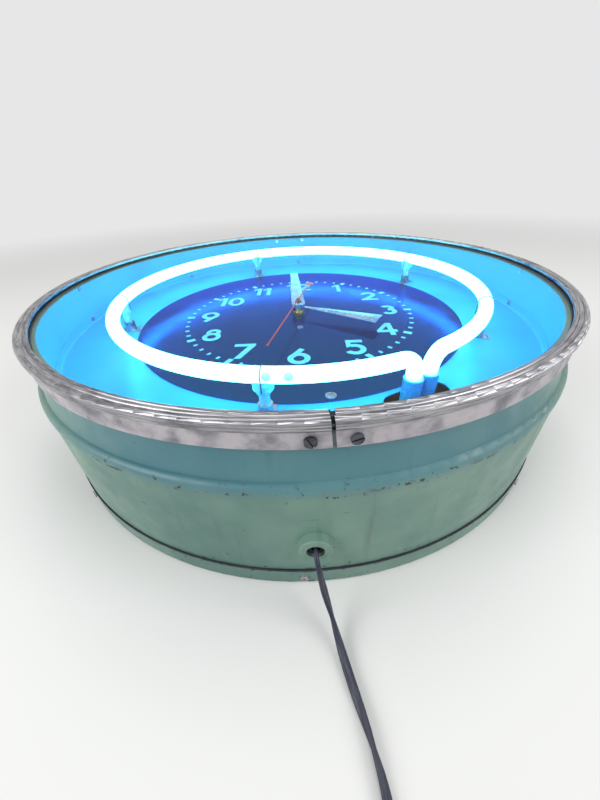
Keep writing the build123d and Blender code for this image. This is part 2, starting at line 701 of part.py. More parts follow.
with BuildPart() as neon_tube:
    with BuildLine() as tube_line:
        leg_tops = tube_path()
    with BuildSketch(Plane((leg_tops[0].X, leg_tops[0].Y, leg_bottom))):
        Circle(tube_radius)
        Circle(tube_radius - tube_wall, mode=Mode.SUBTRACT)
    sweep(path=tube_line.wires()[0])
save(neon_tube, "neon_tube")
leg_places = [(leg.X, leg.Y) for leg in leg_tops]

with BuildPart() as tube_electrodes:
    for place in leg_places:
        disc(tube_radius, leg_bottom - electrode_length, leg_bottom, place)
        disc(tube_radius - tube_wall - 0.5, leg_bottom, leg_bottom + 6, place)
save(tube_electrodes, "tube_electrodes")

with BuildPart() as electrode_sleeves:
    for place in leg_places:
        hub(tube_radius + 0.1, sleeve_radius, sleeve_bottom, sleeve_top, place)
save(electrode_sleeves, "electrode_sleeves")

saddle_bottom = ring_height - tube_radius - 8.5
saddle_seat = saddle_bottom + 3
with BuildPart() as tube_supports:
    for azimuth in support_azimuths:
        with BuildSketch(seated(ring_radius, azimuth, deck_top + clip_gauge)):
            Circle(post_radius)
        extrude(amount=saddle_bottom - 4 - deck_top - clip_gauge)
        with BuildSketch(seated(ring_radius, azimuth, saddle_bottom - 4)):
            Circle(post_radius)
        with BuildSketch(seated(ring_radius, azimuth, saddle_seat)):
            SlotOverall(saddle_length, saddle_width)
        loft()
        with BuildSketch(seated(ring_radius, azimuth, saddle_seat)):
            SlotOverall(saddle_length, saddle_width)
        extrude(amount=saddle_rise)
    with BuildSketch(Plane.XZ):
        with Locations((ring_radius, ring_height)):
            Circle(tube_radius + 0.1)
    revolve(axis=Axis.Z, mode=Mode.SUBTRACT)
save(tube_supports, "tube_supports")

with BuildPart() as support_clips:
    for azimuth in support_azimuths:
        with BuildSketch(seated(ring_radius, azimuth, deck_top)):
            Rectangle(15, clip_foot)
        extrude(amount=clip_gauge)
        with BuildSketch(seated(ring_radius, azimuth, deck_top)):
            Circle(clip_radius)
            Circle(post_radius, mode=Mode.SUBTRACT)
        extrude(amount=clip_height)
        with BuildSketch(seated(clip_screw_circle, azimuth, deck_top)):
            Circle(1.5)
        extrude(amount=2, mode=Mode.SUBTRACT)
        with BuildSketch(seated(ring_radius - clip_radius, azimuth, deck_top + clip_gauge)):
            Rectangle(3, 8)
        extrude(amount=clip_height, mode=Mode.SUBTRACT)
save(support_clips, "support_clips")

tie_arc = tube_radius + tie_radius + 0.1
with BuildPart() as tie_wires:
    for azimuth in support_azimuths:
        turn = radians(azimuth)
        side = Plane(origin=at(ring_radius, azimuth, ring_height), x_dir=(sin(turn), cos(turn), 0),
                     z_dir=(cos(turn), -sin(turn), 0))
        with BuildLine(side) as wire:
            Line((-tie_arc, -14), (-tie_arc, 0))
            CenterArc((0, 0), tie_arc, 0, 180)
            Line((tie_arc, 0), (tie_arc, -14))
        with BuildSketch(seated(ring_radius - tie_arc, azimuth, ring_height - 14)):
            Circle(tie_radius)
        sweep(path=wire.wires()[0])
save(tie_wires, "tie_wires")

# --- Hands ----------------------------------------------------------------------------
def blade(azimuth, plane, start, end, root, tip, lift):
    """Tapered hand blade: a flat underside and a ridge along the middle."""
    sections = []
    for distance, width in ((start, root), (end, tip)):
        with BuildSketch(facing(distance, azimuth, plane)) as section:
            with BuildLine():
                Polyline((-width / 2, 0), (width / 2, 0), (width / 2, hand_gauge / 2),
                         (0, lift), (-width / 2, hand_gauge / 2), close=True)
            make_face()
        sections.append(section.sketch.face())
    loft(sections)


with BuildPart() as hour_hand:
    blade(hour_azimuth, hour_plane, 7, hour_hand_length, hour_hand_root, hour_hand_tip, hand_ridge)
    hub(pipe_radius, 9.5, hour_plane, hour_plane + hand_gauge, (0, 0))
    hub(pipe_radius, 5.0, hour_plane - 2.5, hour_plane + hand_gauge, (0, 0))
save(hour_hand, "hour_hand")

with BuildPart() as minute_hand:
    blade(minute_azimuth, minute_plane, 6, minute_hand_length, minute_hand_root, minute_hand_tip,
          hand_ridge)
    disc(10.0, minute_plane, minute_plane + hand_gauge)
    disc(5.0, minute_plane - 1.4, minute_plane + 2.2)
    disc(cannon_radius, minute_plane - 5, minute_plane + 5, mode=Mode.SUBTRACT)
save(minute_hand, "minute_hand")

with BuildPart() as hand_nut:
    with BuildSketch(Plane.XY.offset(minute_plane + 2.2)):
        RegularPolygon(4.6, 6)
        Circle(cannon_radius, mode=Mode.SUBTRACT)
    extrude(amount=1.8)
save(hand_nut, "hand_nut")

with BuildPart() as second_hand:
    with BuildSketch(seated(0, second_azimuth, second_plane)):
        with Locations((0, (second_hand_length - second_tail) / 2)):
            Rectangle(second_hand_width, second_hand_length + second_tail)
        Circle(4.0)
        with Locations((0, -second_tail)):
            Circle(counterweight_radius)
        with Locations((0, second_hand_length)):
            Circle(second_hand_width)
        Circle(arbor_radius, mode=Mode.SUBTRACT)
    extrude(amount=0.5)
    hub(arbor_radius, 2.0, second_plane, second_plane + 3.2, (0, 0))
save(second_hand, "second_hand")

# --- Motion work: 12 to 1 from minute hand to hour hand -------------------------------
motion_place = at(motion_distance, motion_azimuth)[:2]
motion_module = 2 * motion_distance / (cannon_teeth + minute_wheel_teeth)
hour_module = 2 * motion_distance / (minute_pinion_teeth + hour_wheel_teeth)
motion_bottom = front_plate_top + 1.0
motion_top = motion_bottom + wheel_gauge
hour_wheel_bottom = motion_top + 1.0
hour_wheel_top = hour_wheel_bottom + wheel_gauge
cannon_bottom = back_plate_top + 10.0
centre_level = cannon_bottom + 2.6
stud_radius = 1.5
with BuildPart() as cannon_pinion:
    hub(arbor_radius + running, cannon_radius, cannon_bottom, minute_plane + 4.2, (0, 0))
    gear(cannon_teeth, motion_module, motion_bottom, motion_top, (0, 0), motion_azimuth,
         arbor_radius + running)
    hub(arbor_radius + running, 4.0, cannon_bottom, cannon_bottom + 1.4, (0, 0))
    hub(arbor_radius + running, 6.0, centre_level + 4.1, centre_level + 4.6, (0, 0))
    hub(arbor_radius + running, 3.4, centre_level + 4.1, centre_level + 6.5, (0, 0))
save(cannon_pinion, "cannon_pinion")

with BuildPart() as minute_wheel:
    gear(minute_wheel_teeth, motion_module, motion_bottom, motion_top, motion_place,
         motion_azimuth + 180, stud_radius + running, False)
    gear(minute_pinion_teeth, hour_module, motion_top, hour_wheel_top + 1, motion_place,
         motion_azimuth + 180, stud_radius + running)
save(minute_wheel, "minute_wheel")

with BuildPart() as hour_wheel:
    gear(hour_wheel_teeth, hour_module, hour_wheel_bottom, hour_wheel_top, (0, 0),
         motion_azimuth, cannon_radius + running, False)
    hub(cannon_radius + running, pipe_radius, hour_wheel_bottom, hour_plane + 1.6, (0, 0))
save(hour_wheel, "hour_wheel")

with BuildPart() as set_arbor:
    gear(set_teeth, motion_module, motion_bottom, motion_top, set_place, motion_azimuth + 180,
         0.4, False)
    disc(set_shaft_radius, panel_bottom - knob_gap - 4, motion_top, set_place)
save(set_arbor, "set_arbor")

knob_top = panel_bottom - knob_gap
with BuildPart() as set_knob:
    with BuildSketch(Plane.XY.offset(knob_top - knob_height)):
        with Locations(set_place):
            Circle(knob_radius)
            with PolarLocations(knob_radius, 24):
                Circle(0.6, mode=Mode.SUBTRACT)
    extrude(amount=knob_height)
    disc(set_shaft_radius, knob_top - 4, knob_top + 1, set_place, Mode.SUBTRACT)
save(set_knob, "set_knob")

# --- Going train: motor 3.6 rpm, second arbor 1 rpm, centre wheel 1 turn an hour --------
third_place = at(third_distance, third_azimuth)[:2]
motor_place = at(motor_distance, motor_azimuth)[:2]
second_module = 2 * motor_distance / (motor_pinion_teeth + second_wheel_teeth)
third_module = 2 * third_distance / (second_pinion_teeth + third_wheel_teeth)
centre_module = 2 * third_distance / (third_pinion_teeth + centre_wheel_teeth)
second_level = back_plate_top + 2
third_level = second_level + 4
with BuildPart() as second_arbor:
    disc(arbor_radius, back_plate_bottom, second_plane + 3.2)
    gear(second_wheel_teeth, second_module, second_level, second_level + wheel_gauge, (0, 0),
         motor_azimuth, 0.4, False)
    gear(second_pinion_teeth, third_module, third_level - 1, third_level + wheel_gauge + 1,
         (0, 0), third_azimuth, 0.4)
save(second_arbor, "second_arbor")

third_arbor_radius = 1.2
with BuildPart() as third_wheel:
    disc(third_arbor_radius, back_plate_bottom + 0.2, front_plate_top - 0.2, third_place)
    gear(third_wheel_teeth, third_module, third_level, third_level + wheel_gauge, third_place,
         third_azimuth + 180, 0.4, False)
    gear(third_pinion_teeth, centre_module, centre_level - 1, centre_level + wheel_gauge + 1,
         third_place, third_azimuth + 180, 0.4)
save(third_wheel, "third_wheel")

with BuildPart() as centre_wheel:
    gear(centre_wheel_teeth, centre_module, centre_level, centre_level + wheel_gauge, (0, 0),
         third_azimuth, cannon_radius + running, False)
    hub(cannon_radius + running, 4.0, centre_level - 1, centre_level + 4, (0, 0))
save(centre_wheel, "centre_wheel")

with BuildPart() as motor_pinion:
    gear(motor_pinion_teeth, second_module, second_level - 0.7, second_level + wheel_gauge + 0.8,
         motor_place, motor_azimuth + 180, 0.4)
    disc(arbor_radius, back_plate_bottom - 14, second_level + wheel_gauge + 0.8, motor_place)
save(motor_pinion, "motor_pinion")

# --- Movement plates and motor --------------------------------------------------------
with BuildPart() as front_plate:
    with BuildSketch(Plane.XY.offset(front_plate_bottom)):
        Circle(front_plate_radius)
        Circle(cannon_radius + running, mode=Mode.SUBTRACT)
        with Locations(set_place):
            Circle(set_shaft_radius + running, mode=Mode.SUBTRACT)
        with Locations(third_place):
            Circle(third_arbor_radius + running, mode=Mode.SUBTRACT)
        with Locations(*[at(fixing_circle, azimuth)[:2] for azimuth in fixing_azimuths]):
            Circle(fixing_radius, mode=Mode.SUBTRACT)
    extrude(amount=plate_gauge)
    disc(stud_radius, front_plate_top, hour_wheel_top + 2, motion_place)
save(front_plate, "movement_front_plate")

with BuildPart() as back_plate:
    with BuildSketch(Plane.XY.offset(back_plate_bottom)):
        Circle(back_plate_radius)
        Circle(arbor_radius + running, mode=Mode.SUBTRACT)
        with Locations(set_place):
            Circle(set_shaft_radius + running, mode=Mode.SUBTRACT)
        with Locations(third_place):
            Circle(third_arbor_radius + running, mode=Mode.SUBTRACT)
        with Locations(motor_place):
            Circle(arbor_radius + 1, mode=Mode.SUBTRACT)
    extrude(amount=plate_gauge)
save(back_plate, "movement_back_plate")

with BuildPart() as rotor_can:
    disc(rotor_can_radius, back_plate_bottom - rotor_can_height, back_plate_bottom, motor_place)
    fillet(rotor_can.edges().group_by(Axis.Z)[0], radius=3)
    disc(arbor_radius + running, back_plate_bottom - 14.5, back_plate_bottom, motor_place,
         Mode.SUBTRACT)
save(rotor_can, "rotor_can")

core_top = back_plate_bottom - 4
core_thickness = 14.0
arm = 11.0
core_left = motor_place[0] - rotor_can_radius - arm
core_right = motor_place[0] + rotor_can_radius + arm
core_y = (-40.0, -28.0)
core_screw_places = [(core_left + arm / 2, 8.0), (core_right - arm / 2, 8.0)]
with BuildPart() as motor_core:
    with BuildSketch(Plane.XY.offset(core_top - core_thickness)):
        with Locations(((core_left + core_right) / 2, (core_y[0] + core_y[1]) / 2)):
            Rectangle(core_right - core_left, core_y[1] - core_y[0])
        for left in (core_left, core_right - arm):
            with Locations((left + arm / 2, (core_y[0] + 16.0) / 2)):
                Rectangle(arm, 16.0 - core_y[0])
        with Locations(*core_screw_places):
            Circle(1.5, mode=Mode.SUBTRACT)
    extrude(amount=core_thickness)
save(motor_core, "motor_core")

coil_room = 6.0
with BuildPart() as motor_coil:
    with BuildSketch(Plane.YZ.offset(core_left + arm + 1)):
        with Locations(((core_y[0] + core_y[1]) / 2, core_top - core_thickness / 2)):
            RectangleRounded(core_y[1] - core_y[0] + 2 * coil_room,
                             core_thickness + 2 * (back_plate_bottom - core_top) - 1, 3)
            Rectangle(core_y[1] - core_y[0], core_thickness, mode=Mode.SUBTRACT)
    extrude(amount=core_right - core_left - 2 * arm - 2)
save(motor_coil, "motor_coil")

with BuildPart() as movement_pillars:
    for azimuth in pillar_azimuths:
        disc(pillar_radius, back_plate_top, front_plate_bottom, at(pillar_circle, azimuth)[:2])
    for azimuth in fixing_azimuths:
        hub(fixing_radius, 4.5, front_plate_top, deck_bottom, at(fixing_circle, azimuth)[:2])
    for place in core_screw_places:
        disc(1.5, core_top - core_thickness, back_plate_bottom, place)
        disc(3.0, core_top, back_plate_bottom, place)
        disc(3.0, core_top - core_thickness - 2, core_top - core_thickness, place)
save(movement_pillars, "movement_pillars")

with BuildPart() as centre_bushing:
    hub(pipe_radius + running, 12.0, deck_bottom - 1.6, deck_bottom, (0, 0))
    hub(pipe_radius + running, bushing_outer, deck_bottom - 1.6, dial_top + 6.4, (0, 0))
save(centre_bushing, "centre_bushing")

with BuildPart() as centre_nut:
    with BuildSketch(Plane.XY.offset(dial_top)):
        RegularPolygon(8.5, 6)
        Circle(bushing_outer, mode=Mode.SUBTRACT)
    extrude(amount=4)
save(centre_nut, "centre_nut")

# --- Transformer and wiring -----------------------------------------------------------
wide, deep, tall = transformer_size
with BuildPart() as transformer_case:
    with BuildSketch(Plane.XY.offset(recess_depth)):
        with Locations((0, transformer_offset)):
            RectangleRounded(wide, deep, 6)
    extrude(amount=tall)
    with BuildSketch(Plane.XY.offset(recess_depth)):
        with Locations((0, transformer_offset)):
            RectangleRounded(wide - 12, deep + 32, 4)
        with Locations(*transformer_screw_places):
            Circle(2.5, mode=Mode.SUBTRACT)
    extrude(amount=2)
save(transformer_case, "transformer_case")

insulator_height = recess_depth + tall * 0.6
with BuildPart() as transformer_insulators:
    for side in (-1, 1):
        start = Plane(origin=(side * wide / 2, transformer_offset, insulator_height),
                      z_dir=(side, 0, 0))
        with BuildSketch(start):
            Circle(insulator_radius)
        with BuildSketch(start.offset(insulator_length)):
            Circle(insulator_radius * 0.5)
        loft()
save(transformer_insulators, "transformer_insulators")

with BuildPart() as transformer_screws:
    for place in transformer_screw_places:
        disc(2.5, panel_bottom, recess_depth + 2, place)
        disc(4.5, panel_bottom - 2, panel_bottom, place)
        disc(4.5, recess_depth + 2, recess_depth + 5, place)
save(transformer_screws, "transformer_screws")

lead_end = leg_bottom - electrode_length
reach = wide / 2 + insulator_length
right_route = [(reach, transformer_offset, insulator_height),
               (reach + 28, transformer_offset, insulator_height), (reach + 58, 112, 53),
               (reach + 70, 35, 48), (reach + 68, -45, 48), (reach + 58, -112, 50),
               (leg_places[1][0] + 20, -170, 50), (leg_places[1][0] + 6, leg_places[1][1] + 12, 53),
               (*leg_places[1], 64), (*leg_places[1], lead_end)]
left_route = [(-reach, transformer_offset, insulator_height),
              (-reach - 28, transformer_offset, insulator_height), (-reach - 58, 108, 53),
              (-reach - 68, 25, 48), (-reach - 56, -58, 48), (-reach - 20, -125, 48),
              (-62, -165, 50), (0, -190, 50), (55, -212, 51),
              (leg_places[0][0] - 12, leg_places[0][1] - 1, 53), (*leg_places[0], 64),
              (*leg_places[0], lead_end)]
with BuildPart() as high_voltage_leads:
    tube(right_route, lead_radius)
    tube(left_route, lead_radius)
save(high_voltage_leads, "high_voltage_leads")

block_height = 16.0
with BuildPart() as terminal_block:
    with BuildSketch(Plane.XY.offset(recess_depth)):
        with Locations(terminal_place):
            RectangleRounded(54, 24, 2)
    extrude(amount=block_height)
    with BuildSketch(Plane.XY.offset(recess_depth + block_height)):
        with Locations(terminal_place):
            with GridLocations(14, 0, 3, 1):
                Circle(4)
    extrude(amount=-5, mode=Mode.SUBTRACT)
    for shift in (-14, 0, 14):
        disc(3.6, recess_depth + block_height - 5, recess_depth + block_height - 2,
             (terminal_place[0] + shift, terminal_place[1]))
save(terminal_block, "terminal_block")

# --- Cord entry and cord --------------------------------------------------------------
cord_x, cord_z = bushing_place
wall_face = drum_radius
bushing_plane = Plane.XZ.offset(wall_face)      # its z points along -Y, out of the case
with BuildPart() as cord_bushing:
    with BuildSketch(bushing_plane):
        with Locations(bushing_place):
            Circle(bushing_radius)
    extrude(amount=bushing_stand)
    with BuildSketch(bushing_plane):
        with Locations(bushing_place):
            Circle(bushing_radius)
    extrude(amount=-2)
    fillet(cord_bushing.edges().group_by(Axis.Y)[0], radius=1.5)
    disc(drum_radius, cord_z - 2 * bushing_radius, cord_z + 2 * bushing_radius, mode=Mode.SUBTRACT)
    with BuildSketch(bushing_plane):
        with Locations(bushing_place):
            Circle(bushing_neck)
    extrude(amount=-14)
    with BuildSketch(bushing_plane.offset(bushing_stand + 1)):
        with Locations(bushing_place):
            Circle(bushing_bore)
    extrude(amount=-30, mode=Mode.SUBTRACT)
save(cord_bushing, "cord_bushing")

nut_face = sqrt(drum_inner ** 2 - (cord_x + 17) ** 2)
with BuildPart() as bushing_locknut:
    with BuildSketch(Plane.XZ.offset(nut_face)):
        with Locations(bushing_place):
            RegularPolygon(16.5, 6)
            Circle(bushing_neck, mode=Mode.SUBTRACT)
    extrude(amount=-4)
save(bushing_locknut, "bushing_locknut")

grommet_depth = 3.0
with BuildPart() as cord_grommet:
    with BuildSketch(bushing_plane.offset(bushing_stand - grommet_depth)):
        with Locations(bushing_place):
            Circle(bushing_bore)
            Circle(cord_radius + 0.1, mode=Mode.SUBTRACT)
    extrude(amount=-8)
save(cord_grommet, "cord_grommet")

cord_start = (cord_x, -wall_face, cord_z)
block_face = terminal_place[1] - 12
inner_route = [cord_start, (cord_x, -304, cord_z), (cord_x - 6, -281, 56), (cord_x - 26, -259, 41),
               (terminal_place[0] + 12, -243, 27), (terminal_place[0] + 8, -231, 23),
               (terminal_place[0] + 8, block_face, 23)]
with BuildPart() as mains_lead:
    tube(inner_route, cord_radius - 0.5)
save(mains_lead, "mains_lead")

rest = cord_radius + 0.1
cord_route = [cord_start, (cord_x, -341, cord_z), (11, -347.2, 58.8), (12.5, -351.4, 51),
              (14.5, -355, 41), (17.5, -360, 28), (21, -366.5, 16.5), (24.5, -377, 7.5),
              (28.5, -392, rest + 0.6), (34, -411, rest), (41, -433, rest), (46.5, -457, rest),
              (45.5, -505, rest + 1)]
with BuildPart() as power_cord:
    tube(cord_route, cord_radius)
    tube(tail_route, cord_radius)
save(power_cord, "power_cord")

coil_inner, coil_outer = coil_mid_radius - coil_width / 2, coil_mid_radius + coil_width / 2
coil_round = 3.4
coil_axis = Axis((*coil_centre, 0), (0, 0, 1))
with BuildPart() as power_cord_coil:
    with BuildSketch(Plane(origin=(*coil_centre, coil_bottom))):
        Circle(coil_outer)
        Circle(coil_inner, mode=Mode.SUBTRACT)
    extrude(amount=coil_height)
    fillet(power_cord_coil.edges().filter_by(GeomType.CIRCLE), radius=coil_round)
save(power_cord_coil, "power_cord_coil")

with BuildPart() as coil_tie:
    with BuildSketch(Plane(origin=(*coil_centre, 0), x_dir=(cos(radians(tie_turn)), sin(radians(tie_turn)), 0),
                           z_dir=(sin(radians(tie_turn)), -cos(radians(tie_turn)), 0))):
        with Locations((coil_mid_radius, coil_bottom + coil_height / 2)):
            RectangleRounded(coil_width + 2 * tie_gauge, coil_height + 2 * tie_gauge,
                             coil_round + tie_gauge)
            RectangleRounded(coil_width, coil_height, coil_round, mode=Mode.SUBTRACT)
    revolve(axis=coil_axis, revolution_arc=tie_sweep)
save(coil_tie, "coil_tie")

with BuildPart() as plug_body:
    with BuildSketch(Plane(origin=plug_start, x_dir=(0, 1, 0), z_dir=(1, 0, 0))):
        RectangleRounded(13, 10, 3)
    with BuildSketch(Plane(origin=plug_start, x_dir=(0, 1, 0), z_dir=(1, 0, 0)).offset(14)):
        RectangleRounded(plug_width, plug_height, 3)
    loft()
    with BuildSketch(Plane(origin=plug_start, x_dir=(0, 1, 0), z_dir=(1, 0, 0)).offset(14)):
        RectangleRounded(plug_width, plug_height, 3)
    extrude(amount=plug_length - 14)
save(plug_body, "plug_body")

with BuildPart() as plug_blades:
    with BuildSketch(Plane(origin=plug_start, x_dir=(0, 1, 0), z_dir=(1, 0, 0)).offset(plug_length)):
        with GridLocations(blade_spacing, 0, 2, 1):
            Rectangle(blade_gauge, blade_width)
    extrude(amount=blade_length)
save(plug_blades, "plug_blades")

for corner, radius in zip(cord_route[1:], corner_radii(cord_route)):
    print("cord corner", corner, "radius", round(radius, 1))
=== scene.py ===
"""Neon wall clock lying on its back: its finishes, lit tube, cord, camera and studio."""

import logging
import math
from dataclasses import dataclass, field
from enum import Enum

import bmesh
import bpy
from mathutils import Matrix, Vector


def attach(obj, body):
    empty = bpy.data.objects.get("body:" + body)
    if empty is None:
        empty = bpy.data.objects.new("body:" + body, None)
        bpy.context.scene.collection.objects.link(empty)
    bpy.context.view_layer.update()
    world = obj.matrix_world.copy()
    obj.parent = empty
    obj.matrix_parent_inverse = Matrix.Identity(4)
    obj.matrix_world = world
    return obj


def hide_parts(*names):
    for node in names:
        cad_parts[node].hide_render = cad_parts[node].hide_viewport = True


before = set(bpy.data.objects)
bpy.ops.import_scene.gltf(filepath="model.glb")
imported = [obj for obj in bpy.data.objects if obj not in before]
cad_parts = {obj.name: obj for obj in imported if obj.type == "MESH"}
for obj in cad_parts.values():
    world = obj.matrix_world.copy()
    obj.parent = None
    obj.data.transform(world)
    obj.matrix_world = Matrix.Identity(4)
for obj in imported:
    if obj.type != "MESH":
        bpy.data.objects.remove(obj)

Rgb = tuple[float, float, float]
Point = tuple[float, float, float]
Socket = bpy.types.NodeSocket

log = logging.getLogger("clock")
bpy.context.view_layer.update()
MM = 0.001
CASE_BODY = "clock_case"
FINE_SHARE = 0.55                       # of the finer octaves in every noise
MIX_FACTOR, MIX_FIRST, MIX_SECOND = 0, 6, 7   # a colour Mix node's inputs
MIX_RESULT = 2


def clock_point(radius: float, azimuth: float, height: float) -> Vector:
    """Return the point at a radius and a clock azimuth.

    Args:
        radius: Distance from the clock's axis, in metres.
        azimuth: Degrees from 12 o'clock, through 3 o'clock.
        height: Height above the base, in metres.

    Returns:
        The point in the object's frame.
    """
    turn = math.radians(azimuth)
    return Vector((radius * math.sin(turn), radius * math.cos(turn), height))


class Recipe:
    """Builds the node tree of one material."""

    def __init__(self, name: str) -> None:
        """Start a material with one Principled shader.

        Args:
            name: Name of the material.
        """
        self.material = bpy.data.materials.new(name)
        self.material.use_nodes = True
        self.tree = self.material.node_tree
        self.tree.nodes.clear()
        self.output = self.tree.nodes.new("ShaderNodeOutputMaterial")
        self.shader = self.tree.nodes.new("ShaderNodeBsdfPrincipled")
        self.link(self.shader.outputs[0], self.output.inputs[0])
        self._place: Socket | None = None

    def link(self, source: Socket, target: Socket) -> None:
        """Join two sockets."""
        self.tree.links.new(source, target)

    def feed(self, target: Socket, value: object) -> None:
        """Set a socket to a value, or join it to another socket.

        Args:
            target: Input socket.
            value: A socket, number, colour or vector.
        """
        if isinstance(value, bpy.types.NodeSocket):
            self.link(value, target)
        elif isinstance(value, tuple) and len(value) == 3 and target.type == "RGBA":
            target.default_value = (*value, 1.0)
        else:
            target.default_value = value

    def set(self, **values: object) -> None:
        """Set inputs of the Principled shader, with underscores for spaces in their names."""
        for name, value in values.items():
            self.feed(self.shader.inputs[name.replace("_", " ")], value)

    def node(self, kind: str, *values: object, **settings: object) -> bpy.types.Node:
        """Add a node and fill its inputs in order.

        Args:
            kind: Node type without its ShaderNode prefix.
            values: One value per input, or None to leave an input alone.
            settings: Properties of the node.

        Returns:
            The new node.
        """
        made = self.tree.nodes.new(f"ShaderNode{kind}")
        for name, value in settings.items():
            setattr(made, name, value)
        for target, value in zip(made.inputs, values):
            if value is not None:
                self.feed(target, value)
        return made

    @property
    def place(self) -> Socket:
        """Position in the object's own frame, in metres."""
        if self._place is None:
            self._place = self.node("TexCoord").outputs["Object"]
        return self._place

    def calc(self, kind: str, first: object, second: object = 0.0) -> Socket:
        """Return the result of a Math node."""
        return self.node("Math", first, second, operation=kind).outputs[0]

    def axis(self, letter: str) -> Socket:
        """Return one coordinate of the position."""
        return self.node("SeparateXYZ", self.place).outputs[letter]

    def reach(self) -> Socket:
        """Return the distance from the clock's axis."""
        flat = self.node("VectorMath", self.place, (1.0, 1.0, 0.0), operation="MULTIPLY").outputs[0]
        return self.node("VectorMath", flat, operation="LENGTH").outputs["Value"]

    def turn(self) -> Socket:
        """Return the angle about the clock's axis, in radians."""
        return self.calc("ARCTAN2", self.axis("Y"), self.axis("X"))

    def rolled(self, round_scale: float, ring_scale: float) -> Socket:
        """Return coordinates for a grain that runs round the clock.

        Args:
            round_scale: Scale along the circumference.
            ring_scale: Scale across it, on radius and height alike.

        Returns:
            A vector socket.
        """
        parts = (self.calc("MULTIPLY", self.turn(), round_scale),
                 self.calc("MULTIPLY", self.reach(), ring_scale),
                 self.calc("MULTIPLY", self.axis("Z"), ring_scale))
        return self.node("CombineXYZ", *parts).outputs[0]

    def stretched(self, scale: Point) -> Socket:
        """Return the position scaled per axis."""
        return self.node("VectorMath", self.place, scale, operation="MULTIPLY").outputs[0]

    def noise(self, scale: float, detail: float, where: Socket | None = None) -> Socket:
        """Return a noise texture's value.

        Args:
            scale: Features per metre, or per unit of the given coordinates.
            detail: Octaves.
            where: Coordinates, or the object's own position.

        Returns:
            The noise, about 0.5 on average.
        """
        made = self.node("TexNoise")
        self.feed(made.inputs["Vector"], where or self.place)
        self.feed(made.inputs["Scale"], scale)
        self.feed(made.inputs["Detail"], detail)
        self.feed(made.inputs["Roughness"], FINE_SHARE)
        return made.outputs[0]

    def fade(self, value: object, low: float, high: float, start: float = 0.0,
             end: float = 1.0) -> Socket:
        """Return a smooth, clamped change from start to end as value goes from low to high."""
        made = self.node("MapRange", value, low, high, start, end, interpolation_type="SMOOTHSTEP")
        return made.outputs[0]

    def band(self, value: object, middle: float, half: float, soft: float) -> Socket:
        """Return 1 within half of the middle, falling to 0 over soft."""
        away = self.calc("ABSOLUTE", self.calc("SUBTRACT", value, middle))
        return self.fade(away, half, half + soft, 1.0, 0.0)

    def mix(self, amount: object, first: object, second: object) -> Socket:
        """Return a colour between first and second."""
        made = self.tree.nodes.new("ShaderNodeMix")
        made.data_type = "RGBA"
        self.feed(made.inputs[MIX_FACTOR], amount)
        self.feed(made.inputs[MIX_FIRST], first)
        self.feed(made.inputs[MIX_SECOND], second)
        return made.outputs[MIX_RESULT]

    def bump(self, height: Socket, depth: float, strength: float) -> None:
        """Bend the shader's normal by a height field.

        Args:
            height: Height between 0 and 1.
            depth: Depth of a full step, in metres.
            strength: Share of the effect.
        """
        made = self.node("Bump")
        self.feed(made.inputs["Height"], height)
        self.feed(made.inputs["Distance"], depth)
        self.feed(made.inputs["Strength"], strength)
        self.set(Normal=made.outputs[0])


